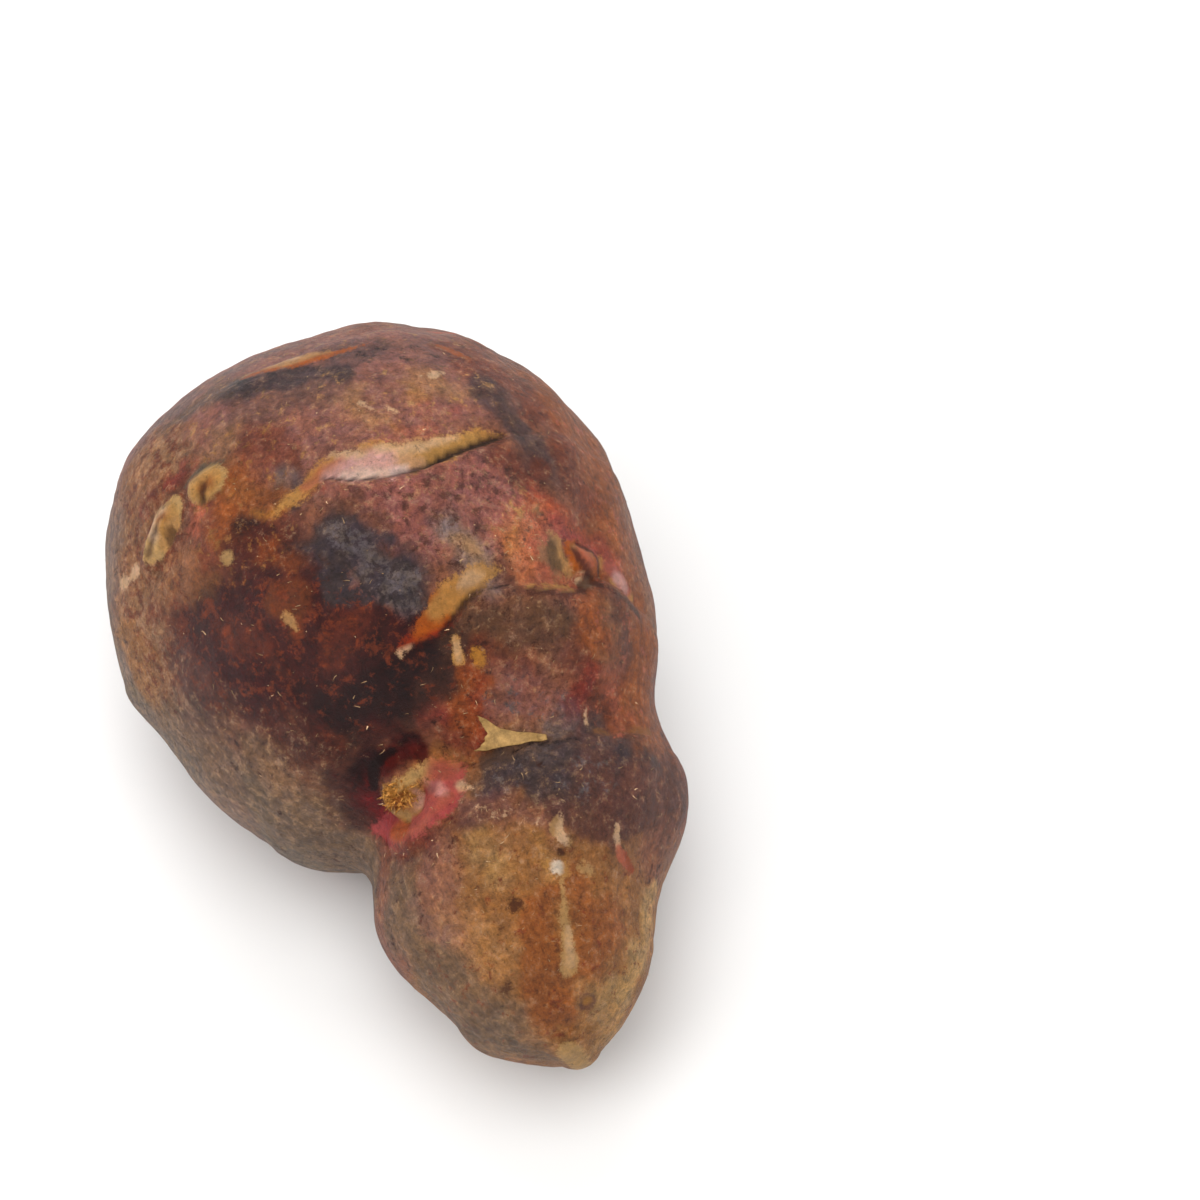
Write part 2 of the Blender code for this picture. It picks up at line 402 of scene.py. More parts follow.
def relaxed(points, edges):
    """Points spread evenly over the form, so that no face is stretched where the body folds."""
    first, second = edges.T
    count = np.bincount(edges.ravel(), minlength=len(points))
    for _ in range(RELAX_ROUNDS):
        middle = np.stack(
            [np.bincount(first, column[second]) + np.bincount(second, column[first]) for column in points.T],
            axis=1,
        ) / count[:, None]
        points = settled(points + RELAX_SHARE * (middle - points))
    return points


MIDDLE_REACH = 20.0
LENGTHWISE = 0.8


def ball_to_form(ball):
    """Points of a unit ball carried out to the form from along the body's middle line."""
    starts = middle_line(MIDDLE_REACH * ball[:, 1])
    return reach_form(starts, unit(ball * np.array([1.0, LENGTHWISE, 1.0])))


def positions(bm):
    bm.verts.index_update()
    return np.array([vert.co[:] for vert in bm.verts])


def move_to(bm, points):
    for vert, point in zip(bm.verts, points.tolist()):
        vert.co = point


def grid_on_form():
    """A cube with a grid on each face, blown up to a ball, carried out to the form and relaxed."""
    bm = bmesh.new()
    bmesh.ops.create_cube(bm, size=2.0)
    bmesh.ops.subdivide_edges(bm, edges=bm.edges[:], cuts=GRID - 1, use_grid_fill=True)
    ball = unit(np.tan(positions(bm) * math.pi / 4))
    edges = np.array([[vert.index for vert in edge.verts] for edge in bm.edges])
    move_to(bm, relaxed(ball_to_form(ball), edges))
    bmesh.ops.subdivide_edges(bm, edges=bm.edges[:], cuts=FINER - 1, use_grid_fill=True)
    return bm


# ---- paint: strokes laid over each other, each between places on the skin

# A stroke has a colour, its places (along, round, along, round and so on), its half-width or the half-widths
# from its first place to its last, how ragged and how soft its edge is, how much it covers of what is below
# it, and how far it lifts the skin.
Stroke = namedtuple("Stroke", "colour places widths rag soft cover lift", defaults=(0.6, 0.5, 0.9, 0.0))


def layer(first_seed, *rows):
    """Strokes laid over each other in order, each with the seed of its ragged edge."""
    return [(first_seed + number, Stroke(*row)) for number, row in enumerate(rows)]


# Fields of colour, which run into each other.
FIELDS = layer(
    40,  # the first seed
    # the far sides and underneath
    ("redbrown", (20, 80, -2, 88, -18, 84), (9, 7), 2.5, 2.5, 0.8),
    ("tan", (30, 110, 10, 130, -10, 125), (8, 7), 2.5, 2.5, 0.6),
    ("dust", (5, 160, -15, 170, -28, 150), (10, 8), 2.5, 2.5, 0.6),
    ("tan", (-30, 110, -36, 150, -34, -140), (8, 9), 2, 2, 0.8),
    ("mauve", (38, -20, 36, -70, 28, -110), 8, 2.5, 2.5, 0.6),
    ("plum", (40, 60, 42, 120), (5, 4), 2, 1.5, 0.5),
    ("redbrown", (34, -130, 20, -150, 0, -150), 5, 2.4, 1.6, 0.6),
    ("charcoal", (36, 100, 26, 112), (2.6, 2.2), 2, 0.8, 0.6),
    ("maroon", (8, 106, 2, 116), (3.4, 2.8), 2.2, 1, 0.6),
    ("charcoal", (20, -120, 8, -128), (3, 2.4), 2.2, 1, 0.5),
    ("rust", (-4, 128, -14, 118), (3, 2.6), 2, 1, 0.6),
    ("dusk", (40, 170, 30, -160), (4, 3.4), 2, 1.2, 0.6),
    # what shows from above and the front
    ("tan", (-44, 0, -26, -5), (18, 13), 1.5, 1.5),
    ("mauve", (24, -15, 25, 15), (13, 11), 1.5, 2.5),
    ("rose", (7, 2, 5, 20), (7, 6), 1.2, 1.5),
    ("rust", (22, 56, 8, 56, -6, 54, -16, 62), (5, 6), 1.5, 1, 0.8),
    ("redbrown", (-6, 40, -13, 40), 4.5, 1.5, 1.2, 0.8),
    ("tan", (26, -52, 18, -60, 9, -74), (6, 5), 1.8, 1.5, 0.55),
    # the dark field on the left and the rust above it
    ("redbrown", (16, -30, 8, -36), (7, 6), 1.8, 1.2, 0.7),
    ("rust", (18, -31, 14, -29, 12, -36), (2, 2.2), 1.6, 0.6, 0.7),
    ("maroon", (3, -54, 1, -42, -4, -24), (6.5, 8.5), 1.8, 0.8, 0.95),
    ("maroon", (9, -33, 4, -24), 3, 1.6, 0.8, 0.8),
    ("soot", (-9, -33, -9, -20, -8.5, -5), (4.5, 4.6), 2.6, 1.3, 0.85),
    ("rust", (0.5, -31, 2.4, -29), 1.3, 1.6, 0.5, 0.35),
    ("orange", (8, -29, 5.4, -25), (0.8, 1), 1.4, 0.6, 0.35),
    ("redbrown", (3, -46, -2, -40), (2, 1.8), 2.2, 0.8, 0.4),
    ("redbrown", (-3, -20, -4, -27), 1.6, 2.2, 0.8, 0.4),
    ("redbrown", (-9, -42, -9.5, -48), (1.4, 1.2), 1.2, 0.6, 0.6),
    # the dusty flank under it, with a painted sheen along its edge
    ("dust", (10, -92, 2, -84, -5, -78), (6, 5), 1.8, 1.6, 0.75),
    ("dust", (-9, -68, -12, -80, -14, -100), (5, 8), 1.4, 1.2),
    ("dusk", (6, -74, 1, -68, -3, -62), 2, 1.2, 0.7, 0.6),
    # a painted sheen along the left edge
    ("rim", (26, -74, 16, -86, 4, -98, -8, -104), (4, 6), 2.6, 3.2, 0.6),
    ("dusk", (-7, -60, -11.5, -56, -14, -62), (2.8, 2.4), 1.4, 0.8),
    ("grit", (-6.5, -63, -9.4, -64, -11.5, -60), (1.4, 2.2, 1.5), 1.6, 1.2, 0.55),
    ("redbrown", (-12.6, -62, -9.6, -54, -6.4, -53), (1.2, 1.4), 1.8, 1.2, 0.5),
    ("plum", (9.8, -67, 5.9, -65, 0.2, -57), (1.4, 2, 2.2), 1.4, 0.6, 0.7),
    ("maroon", (0.2, -51, -4.3, -50, -8.7, -47), (2.4, 3, 2.6), 1.4, 0.6, 0.7),
    ("tan", (13, -76, 8, -80), (2.4, 2), 1.2, 0.8, 0.6),
    # the crown's far side
    ("dusk", (31, -42, 30, -28), (2.4, 2.6), 1.4, 0.8, 0.8),
    ("charcoal", (28.5, -25, 27.5, -12, 26.5, -2), (2.6, 2.4), 1.4, 0.6, 0.85),
    ("charcoal", (29.5, 2, 28.5, 13), (2.6, 1.8), 1.6, 0.8, 0.6),
    ("dusk", (24, -24, 23, -8), 2.2, 1.6, 0.8, 0.5),
    # a painted sheen along the crown's upper-left edge
    ("slate", (33, -56, 35, -34, 37, -14), (2.2, 1.9), 1.4, 1.4, 0.5),
    ("olivegold", (21, -1, 17.5, 1), (1.8, 1.6), 1.6, 0.7, 0.35),
    ("amber", (15.6, 6, 17.4, 10, 19.4, 13), (1.2, 0.8), 1.4, 0.5, 0.45),
    ("pink", (17.4, 12, 16.6, 17), (1.3, 1.1), 1.2, 0.6, 0.35),
    ("plum", (10.5, 22, 9.5, 29), (1, 1.6), 1.4, 0.9, 0.5),
    ("scar", (21.5, 16, 20.4, 23), (1.8, 1.6), 2, 1.6, 0.5),
    ("redbrown", (26, 32, 18, 42), 3, 1.5, 0.9, 0.8),
    ("charcoal", (20, 31, 14, 33, 8, 36), (2.2, 1.8), 2, 0.6, 0.75),
    ("redbrown", (12, 42, 6, 46), 2.4, 1.2, 0.8, 0.8),
    ("grit", (24, 62, 10, 68, -6, 74), (1.6, 2.2), 1.8, 1.4, 0.4),
    # the left shoulder
    ("grit", (26, -46, 22, -40, 22, -30), (2.6, 2.2), 1.6, 0.9, 0.7),
    ("grit", (14.5, -66, 10, -67), (2.6, 2), 1.6, 0.6, 0.7),
    ("redbrown", (13, -62, 8, -60), 1.3, 1, 0.5, 0.8),
    ("tan", (12, -52, 9, -46), (2.2, 2), 1.6, 0.6, 0.35),
    ("crimson", (25, -34, 22, -41, 21.6, -47, 21.4, -55), (0.3, 0.9, 1, 0.6), 0.8, 0.5, 0.8),
    ("salmon", (19.8, -44, 17, -41.6, 15, -43.5), (0.7, 1, 0.7), 0.6, 0.4, 0.8),
    ("umber", (19.4, -45, 17.2, -51, 15.8, -57), (1.7, 2.3, 1.9), 0.8, 0.4, 0.6),
    ("amber", (11.4, -26, 12, -22, 12.9, -16), (0.4, 1, 1.4), 0.9, 0.5, 0.85),
    ("salmon", (13.8, -14, 14.2, -2, 14, 12), (0.8, 1.2, 0.8), 1, 0.8, 0.5),
    ("vermilion", (10.8, -26, 11.2, -20, 11.5, -13), (0.4, 0.5, 0.3), 0.6, 0.35, 0.7),
    ("orange", (17.6, -28, 15, -33, 12.4, -36), (1.2, 2, 1.2), 1.4, 1, 0.25),
    ("slate", (15.4, -20.8, 14.6, -19.4), (1.2, 0.9), 1, 0.5, 0.8),
    ("soot", (11.6, -31.6, 10.8, -30), (1.1, 0.9), 1.2, 0.6, 0.8),
    ("tan", (15, -30, 14.4, -23), (1.4, 1.6), 2, 1.6, 0.35),
    ("charcoal", (10.6, -22.4, 10.1, -20.6), (0.9, 0.8), 1, 0.4, 0.8),
    # between the crown's tear and the waist's
    ("drab", (7.6, -10, 4.6, -4), (2, 1.6), 1.2, 0.6, 0.6),
    # a painted sheen
    ("bloom", (4.6, 9, 1.4, 11, -1.6, 12), (1.2, 2, 1.8), 1.6, 1.2, 0.8),
    ("scar", (2.4, 11, -0.6, 12), (0.9, 1.3), 1.4, 1.2, 0.6),
    ("redbrown", (9, 27, 8, 31), (2.2, 1.6), 1.2, 0.7, 0.8),
    ("charcoal", (5.2, -14.6, 2, -12, -1.6, -9.4), (3.4, 3.9, 2.8), 1.8, 0.5, 0.95),
    ("charcoal", (2, -4, -1.5, -3), 1.8, 1.6, 0.5, 0.8),
    ("maroon", (-4.2, -10, -4.4, -3), (1.5, 1.2), 0.9, 0.5, 0.8),
    ("amber", (1.5, 25, -1.5, 26), (2, 2.2), 1.8, 1.2, 0.45),
    ("salmon", (3, 24, 0, 24, -2.6, 29), (1.8, 2.4), 1.8, 1.2, 0.45),
    ("plum", (-2, 18, -3.6, 19.5), (1.6, 1.2), 1, 0.6, 0.7),
    ("vermilion", (4.4, 31, 3.2, 37, 1.2, 45, -1.2, 51), (1.6, 1.8, 1.4), 1.2, 0.9, 0.75),
    ("orange", (4, 34, 2.6, 42), (0.7, 0.8), 0.8, 0.5, 0.8),
    ("salmon", (3.8, 28, 2.8, 36, 0.8, 46, -1.4, 53), (1.6, 1.8, 1.4), 1.8, 1.2, 0.45),
    ("pink", (1.8, 33, 1.4, 40, 0, 46), (0.8, 1, 0.8), 1.4, 1, 0.75),
    ("salmon", (1.6, 26, -1.6, 27, -3.4, 31), (1.8, 2.2, 1.6), 2.2, 1.8, 0.5),
    ("amber", (2.4, 22, 0.4, 23), (0.9, 1), 2, 1.2, 0.45),
    ("rust", (4.2, 29, 2.2, 29), (1, 0.8), 1.4, 1.2, 0.5),
    ("salmon", (-0.4, 29, -2.6, 34), (2, 1.6), 0.8, 0.5, 0.7),
    # the waist, from its tear down to the neck's
    ("drab", (-6.8, 9, -7, 20, -8, 30), (3, 2.4), 2.6, 1.6, 0.75),
    ("plum", (-9.4, 22, -10.2, 34), 1.4, 2, 1, 0.5),
    ("redbrown", (-9, 9, -11, 17), 1.8, 1.4, 0.7, 0.8),
    ("rust", (-11.2, 3.5, -12.6, 0), (2.2, 1.8), 1.4, 0.6, 0.85),
    ("crimson", (-12, -8, -13.8, -4, -14, 2), (1.2, 1.7, 1.4), 2, 1.6, 0.75),
    ("vermilion", (-11.5, 4, -13.4, 7), (1.4, 1.2), 1, 0.9, 0.6),
    ("maroon", (-7.6, 4, -9.6, 8), (1.1, 1.3), 1.4, 1, 0.6),
    ("mauve", (-12.4, 13, -13.4, 26), (2.4, 2), 1.8, 1.2, 0.75),
    ("slate", (-15.3, 21, -15.4, 33), (1.1, 1.2), 1, 0.5, 0.85),
    ("crimson", (-11.8, 38, -14.6, 34), (1.8, 1.6), 1.2, 0.7, 0.5),
    ("rust", (-5.6, 38.5, -10, 39), (1.8, 1.7), 1.6, 1.4, 0.8),
    ("orange", (-6.4, 37, -8.8, 38), (0.9, 0.8), 1.6, 1, 0.6),
    ("grit", (-6.4, 45, -11, 46), (1.6, 1.4), 2, 1.4, 0.5),
    ("plum", (-6, 49, -10, 50), 1.6, 1, 0.6, 0.7),
    ("salmon", (-12, 47, -15.5, 52), (1.8, 1.6), 1.4, 0.6, 0.5),
    # the dark band on the nose, under the neck's tear
    ("charcoal", (-19.4, 3, -20.4, 20, -20.6, 38), (2.6, 4.2, 4), 2, 0.9, 0.95),
    ("slate", (-17.6, 16, -18.8, 26, -18.4, 36), (1.4, 2.2, 2), 2, 1.4, 0.5),
    ("plum", (-22, 40, -23, 54, -22, 72), (4.6, 4), 2.4, 1.8),
    ("charcoal", (-19, 50, -19.4, 58), 1.6, 1.2, 0.6, 0.7),
    ("mauve", (-20.8, -8, -24, 4, -25, 14), (2.2, 1.8), 2.2, 1.4, 0.7),
    ("plum", (-24.5, 22, -25.6, 36, -25.4, 52), (1.7, 2), 1.4, 0.8, 0.85),
    ("plum", (-20.4, -10, -22.4, 2, -24, 14), (1.7, 2, 1.8), 2, 1.6, 0.55),
    # the nose
    ("dust", (-24, -58, -31, -64, -38, -84), (3.5, 5), 1.4, 1, 0.8),
    ("mauve", (-23, -34, -30, -44), 2.4, 1.4, 1, 0.6),
    ("rust", (-31.4, 6, -33, 2, -37, -4, -40.5, -12), (2, 2.6), 1.6, 0.7, 0.75),
    ("rust", (-31, 24, -34, 34, -37, 26), (2.4, 2.8), 1.8, 0.7, 0.7),
    ("scar", (-25.4, -16, -27.2, -12), 1.4, 1, 0.8, 0.65),
    ("gold", (-26.8, 6, -28.6, 12), (1.4, 1.3), 1.4, 1, 0.5),
    ("straw", (-24.8, -13, -26.4, -9), (1.3, 1.2), 1.4, 1.2, 0.7),
    ("scar", (-30, -38, -34, -34), 2.4, 2, 2, 0.3),
    ("straw", (-31, 74, -35, 70, -39.5, 62), (1.5, 2.2), 1, 0.6, 0.85),
    ("straw", (-40.6, 45, -41.8, 80, -41, 120), (2, 3), 1.8, 1.6, 0.6),
    ("dust", (-39, -48, -41.5, -80), 2.4, 1.4, 0.9, 0.7),
    # the hollow of the front bud, its dark skin deepened by painted shade, with painted shade in its fold
    ("plum", (-20.8, -20, -21.4, -36, -20.2, -54), (1.6, 1.8, 1.6), 1.4, 1.4, 0.6),
    ("crimson", (-18.6, -24, -19.6, -38, -18.4, -52), (1, 1.7, 1.8), 0.5, 2, 0.75),
    ("maroon", (-14.5, -58, -12, -46, -11.4, -30), 2.4, 1.2, 0.8, 0.7),
    # wine-dark skin, darkened further here as painted shade of the hollow
    ("wine", (-16.5, -54, -13.8, -46, -12.8, -36, -13, -25), (1.8, 2), 0.8, 0.5, 0.95),
    # painted shade in the fold above the stub
    ("black", (-13.4, -50, -12.5, -40, -12.2, -31, -12.8, -22), (0.8, 1.3, 1.2, 0.5), 0.8, 0.5, 0.85),
    ("crimson", (-15.4, -51, -17.8, -57), (1.1, 1), 0.5, 0.4, 0.8),
)

# Where blotches of another colour break through; those on the charcoal patch are painted highlights. Here
# cover is their share of the skin.
BLOTCHES = layer(
    240,  # the first seed
    ("umber", (20, 120, -10, 130), (13, 11), 1, 3, 0.4),
    ("tan", (24, -140, -10, -150), (12, 10), 1, 3, 0.4),
    ("grit", (40, 0, 38, 180), 10, 1, 3, 0.34),
    ("ember", (-40, 0, -28, 10), (17, 10), 1, 2, 0.3),
    ("scar", (24, -15, 25, 15), (13, 11), 1, 2, 0.3),
    ("plum", (7, 2, 4, 18), (7, 6), 1, 1.5, 0.42),
    ("tan", (16, -30, 8, -36), (7, 6), 1, 1.5, 0.3),
    ("ember", (3, -54, 1, -42, -4, -24), (6.5, 8), 1, 1, 0.4),
    ("redbrown", (-9, -33, -8, -4), 4.5, 1, 0.8, 0.34),
    ("umber", (10, -90, -8, -68), 7, 1, 1.2, 0.3),
    ("redbrown", (26, -50, 18, -56, 9, -68), 6, 1, 1.2, 0.45),
    # lighter grey blotches on the charcoal patch: painted highlights on its wrinkles
    ("slate", (5, -14, 2.4, -11, -1.5, -7), 2.4, 1.2, 0.9, 0.5),
    ("soot", (28.5, -25, 27, 20), 3, 1, 1, 0.35),
    ("salmon", (22, 56, 8, 56, -6, 50, -14, 50), (5, 6), 1, 1, 0.3),
    ("scar", (3.4, 22, 5.2, 27), 1.8, 1, 0.5, 0.4),
    # grey blotches above the scale: the skin's whitish fibres, and partly a painted wet sheen
    ("slate", (-12.4, 12, -14, 26), (2, 1.8), 1, 0.6, 0.35),
    ("umber", (-7, 10, -8, 30), 3, 1, 0.8, 0.35),
    ("slate", (-19.8, 2, -20.4, 36), (3, 3.4), 1, 0.8, 0.35),
    ("cream", (-20.5, -8, -24, 4, -25, 14), (2.4, 2), 1, 0.8, 0.3),
    ("wine", (-20.4, -22, -20.6, -60), 2.2, 0.8, 0.8, 0.3),
    ("wine", (-12, -46, -12, -28), (2.4, 2), 0.8, 0.8, 0.3),
)
BLOTCH_SHARE = 0.3

# Where the skin is dusty. Here cover is how dusty it is.
DUSTY = layer(
    340,  # the first seed
    ("lint", (-40, 0, -24, -5), (17, 13), 1, 2, 0.4),
    ("lint", (10, -90, -8, -68), (7, 8), 1, 2, 0.5),
    ("lint", (26, -52, 9, -70), (6, 5), 1, 2, 0.6),
    ("lint", (14, 0, 4, 14), 8, 1, 2, 0.5),
    ("lint", (4, -45, -8, -18), (7, 6), 1, 2, 0),
    ("lint", (-14, -50, -13, -28), 3.5, 1, 0.8, 0),
    ("lint", (5, -14, -1.5, -9), (4, 3), 1, 0.8, 0.1),
)
DUST_ELSEWHERE = 0.35

# Small things with crisp edges.
CRISP = layer(
    140,  # the first seed
    # the far side: buds, scars, a tear and pale marks
    ("crimson", (32.2, 97, 33.6, 103), (1.6, 1.4), 0.7, 0.6, 0.8),
    ("amber", (32.8, 100), 0.9),
    ("pink", (10.4, 117, 12.4, 123), (1.6, 1.4), 0.7, 0.6, 0.75),
    ("straw", (11.4, 120), 0.9),
    ("salmon", (-5.2, -137, -4, -143), (1.5, 1.3), 0.7, 0.6, 0.8),
    ("scar", (42.9, 0), 2.2, 0.8),
    ("umber", (42.9, 0), 1, 0.8, 0.6, 0.7, -0.3),
    ("straw", (-42.4, -20, -42.4, 160), 1.2, 0.7, 0.6, 0.8),
    ("salmon", (-28.4, 124, -27.6, 127), (1.3, 1.2), 0.7, 0.6, 0.7),
    ("gold", (12.4, 96, 11.8, 106, 12.2, 116), (0.1, 0.7, 0.1), 0.6, 0.8, 0.8),
    # painted shade in the crack of the tear
    ("black", (11.6, 94, 11, 106, 11.4, 118), (0.1, 0.2, 0.1), 0.2, 0.3, 0.9, -0.3),
    ("cream", (24, 100, 22, 104), (0.5, 0.3), 0.5),
    ("straw", (18, -112, 16, -116), (1.1, 0.8), 0.8),
    ("salmon", (-14, 96, -16, 101), (0.6, 0.4), 0.7, 0.6, 0.8),
    ("umber", (26, 150), 0.7, 0.7, 0.6, 0.8),
    # the streak on the crown's far side
    ("orange", (30, -25, 30.3, -14, 29.9, -7, 29.7, 0, 30, 10), (0.2, 0.8, 0.9, 0.6, 0.1), 0.6, 0.6),
    ("scar", (31, -25, 31.2, -15, 30.8, -7, 30.4, 0), (0.2, 0.8, 0.8, 0.1), 0.5, 0.6),
    ("cream", (31.6, -17, 31.3, -9), (0.3, 0.1), 0.4, 0.5, 0.8),
    ("salmon", (33.6, 34, 32.8, 46), (0.3, 0.6), 0.7, 0.6),
    ("salmon", (31, 38, 29.4, 44), (0.3, 0.5), 0.7, 0.6, 0.8),
    ("orange", (28.4, 28, 25.4, 33), (0.4, 0.5), 0.7, 0.5, 0.7),
    ("cream", (22.4, 19.6, 22.7, 22.4), (0.6, 0.4), 0.5),
    ("cream", (20.2, 0.8, 18.8, 2.4), (0.35, 0.2), 0.3),
    ("cream", (18.8, 5.6, 18, 7.4), (0.2, 0.3), 0.3),
    # root scars on the left shoulder, with painted shade round their rims
    ("olive", (20, -42, 20.4, -37, 20, -32), (0.3, 0.7, 0.3), 0.4, 0.6, 0.85),
    # painted shade along the first scar's rim
    ("umber", (17.6, -40, 16.6, -37, 16.9, -33.6), (0.2, 0.3, 0.2), 0.4, 0.45, 0.7, -0.2),
    ("straw", (18, -38.4, 18.4, -34.2), 1.5, 0.4, 0.45, 0.9, 0.15),
    ("gold", (18, -37.8, 18.3, -34.9), (1.05, 1), 0.5, 0.6, 0.8, -0.15),
    ("rust", (17.9, -37.4, 18.1, -35.8), (0.55, 0.5), 0.7, 0.6, 0.7, -0.25),
    ("umber", (17.6, -38, 18.3, -36.8), (0.25, 0.2), 0.3, 0.4, 0.8, -0.15),
    ("straw", (19, -46, 17.7, -50, 16.6, -55.6), (1.2, 1.8, 1.4), 0.9, 0.45, 0.95, 0.15),
    ("cream", (19, -48.6, 18, -53), 0.7, 0.8, 0.5, 0.85),
    ("amber", (18.6, -47, 17.4, -50.4), (0.5, 0.4), 1, 0.8, 0.6),
    ("rust", (18.4, -48.6, 18.7, -50), (0.15, 0.2), 0.5, 0.4, 0.8, -0.2),
    ("umber", (18.2, -51.4, 17.6, -52.6, 17.7, -54), (0.12, 0.18, 0.1), 0.5, 0.4, 0.8, -0.25),
    # painted shade along the second scar's rim
    ("umber", (19.8, -47, 20.2, -51, 18.9, -56), (0.08, 0.16, 0.08), 0.5, 0.4, 0.7, -0.15),
    ("scar", (17.2, -47.4, 16, -52), (0.6, 0.5), 0.7, 0.5, 0.8, -0.2),
    ("umber", (16.7, -48.6, 15.8, -51), (0.3, 0.25), 0.4, 0.4, 0.7, -0.2),
    ("umber", (17.4, -54, 16.6, -56.4), (0.2, 0.3), 0.4, 0.4, 0.7, -0.2),
    ("umber", (16.6, -38.5, 15.2, -43, 14, -48.5), (0.1, 0.35, 0.1), 0.8, 0.6, 0.8, -0.3),
    ("cream", (17.4, -64.5, 18.2, -70), 0.8, 0.9, 0.5, 0.8),
    ("straw", (9.6, -38), 0.7, 0.6, 0.5, 0.8),
    ("scar", (1.2, -32, -0.2, -31.4), (0.25, 0.5), 0.8, 0.6, 0.85),
    # the crown's tear: bare flesh above its crack, with a painted highlight on the flesh and painted shade
    # along the crack
    (
        "gold", ((11, -25), (12.2, -19), (13.3, -12), (12.5, -7), (12, 1),
                 (11.8, 5), (12.3, 14), (12.9, 19), (13.5, 24), (13.5, 29)),
        (0.2, 0.9, 1.3, 2.1, 2.4, 2.1, 1.6, 1.2, 0.9, 0.1), 0.8, 1.3,
    ),
    ("salmon", (12.6, -17, 12.8, -11, 13.6, -6), (0.5, 1, 0.5), 0.6, 0.8, 0.7),
    ("flesh", (12.4, -12, 11.8, -6, 11.4, 1, 11.3, 7), (0.3, 1.4, 1.5, 0.5), 0.8, 1.3),
    ("olivegold", (12, 6, 12.4, 13, 13.2, 21), (1, 1.3, 0.7), 0.7, 1, 0.7),
    ("cream", (15, -10, 14.2, -6, 13.4, -3.4), (0.1, 0.4, 0.15), 0.3),
    ("cream", (13.7, 0, 13.2, 5, 13.2, 11, 13.6, 18), (0.1, 0.4, 0.35, 0.1), 0.4, 0.6, 0.8),
    # a painted highlight along the flesh's lower edge
    ("white", (11.9, -9, 11.1, -4, 10.8, 0, 10.8, 4), (0.1, 0.35, 0.3, 0.1), 0.6, 0.9, 0.5),
    ("drab", (9.9, 5.5), 0.5, 0.4),
    # painted shade in the crack, deepest on its right
    ("black", (12.3, -13, 11, -8, 10.1, -2, 10.1, 5, 10.7, 12), (0.1, 0.2), 0.15, 0.3, 0.9, -0.25),
    ("black", (10.5, 8, 11.6, 17, 12.7, 25, 13.3, 29), (0.1, 0.5, 0.45, 0.1), 0.25, 0.3, 0.95, -0.6),
    # the right bud
    ("grit", (1, 31.4, -0.6, 30.8, -2.2, 32.4), (0.9, 1.8, 1.4), 1.6, 1.4, 0.8, 0.1),
    ("scar", (0.6, 33.4, -0.8, 33, -2.8, 34.8), (0.5, 0.9, 0.6), 1.2, 1, 0.75),
    ("drab", (0.2, 31.6, -1.6, 31.2), (0.3, 0.4), 1.2, 0.8, 0.7),
    ("umber", (0.4, 35.6, -1.2, 35.6, -2.6, 36.6), (0.08, 0.16, 0.08), 0.6, 0.5, 0.8, -0.15),
    ("scar", (-0.6, 31.8, -1.8, 32.4), 0.5, 1, 0.8, 0.5),
    ("drab", (-0.4, 30.6, -2, 31.4), 0.4, 0.8, 0.5, 0.7),
    ("orange", (0, 37.6, -1.2, 39.2, -2.4, 42), (1.2, 1.7, 1.1), 0.7, 0.6, 0.95),
    # a pale painted highlight on the orange bud
    ("scar", (0.2, 38.6, -0.6, 41), (0.35, 0.3), 0.6, 0.6, 0.8),
    ("salmon", (-0.1, 39.6, -1.5, 40.6), 0.4, 0.6, 0.8, 0.8),
    ("maroon", (0, 37.6, -1.4, 37.8, -2.6, 40), (0.25, 0.2), 0.4, 0.4, 0.8, -0.15),
    ("umber", (0.8, 40, -0.4, 44, -2.2, 45.6), (0.25, 0.3, 0.25), 0.3, 0.4, 0.9, -0.2),
    ("gold", (-0.6, 47, -1.8, 52, -3, 58), (0.8, 1.2, 0.6), 0.7, 0.6, 0.85),
    ("pink", (-1.2, 50, -2.6, 56), (0.7, 0.9), 1, 1, 0.8),
    ("flesh", (-1.8, 52, -2.6, 55), (0.3, 0.4), 0.8, 0.8, 0.8),
    ("cream", (-3.4, 37.4, -3.7, 40), (0.6, 0.4), 0.7),
    # the waist's tear, with painted shade in its crack
    ("vermilion", (-6.2, -11, -5.5, -5, -5, 0, -4.6, 4), (0.3, 1.2, 1.3, 0.6), 0.6, 0.8),
    ("orange", (-5.3, -5, -4.3, 0, -3.5, 4), (0.4, 1.3, 1.6), 0.6, 0.8),
    ("gold", (-4, 1, -2.9, 6, -2.2, 10, -2.1, 16), (0.6, 1.7, 1.3, 0.4), 0.8, 1, 0.85),
    ("cream", (-2.6, 7, -2, 10, -1.9, 12.5), (0.2, 0.5, 0.2), 0.5, 0.6, 0.6),
    ("cream", (-6.5, -12.5, -6.3, -9), (0.2, 0.1), 0.4, 0.4, 0.8),
    # painted shade in the crack
    ("black", (-6.6, -8, -6.3, -1, -5.2, 4, -4, 8, -3.4, 12, -3.6, 18), (0.2, 0.14), 0.15, 0.3, 0.9, -0.2),
    ("umber", (-4.6, 22, -5.2, 31, -4.6, 37, -3.2, 41, -4.2, 46, -5.2, 57), (0.4, 0.5), 0.5, 0.5, 0.8),
    ("olivegold", (-3.9, 22, -4.3, 29, -4.4, 34), (0.16, 0.24), 0.25),
    ("gold", (-6.9, 2.3, -8.5, 1.9), (0.42, 0.6), 0.2, 0.5, 0.9, 0.12),
    ("cream", (-7.2, 2.1, -8.3, 1.8), (0.15, 0.2), 0.4, 0.5, 0.5),
    ("amber", (-8.5, 6.8, -9.1, 7.3), 0.65, 0.2, 0.8, 0.85, 0.12),
    # the neck's tear, with a painted shadow under the scale and painted shade in its crack
    # a painted shadow under the scale's left part
    ("dusk", (-16.4, 0, -17, 10), (0.9, 0.6), 1, 0.8, 0.8),
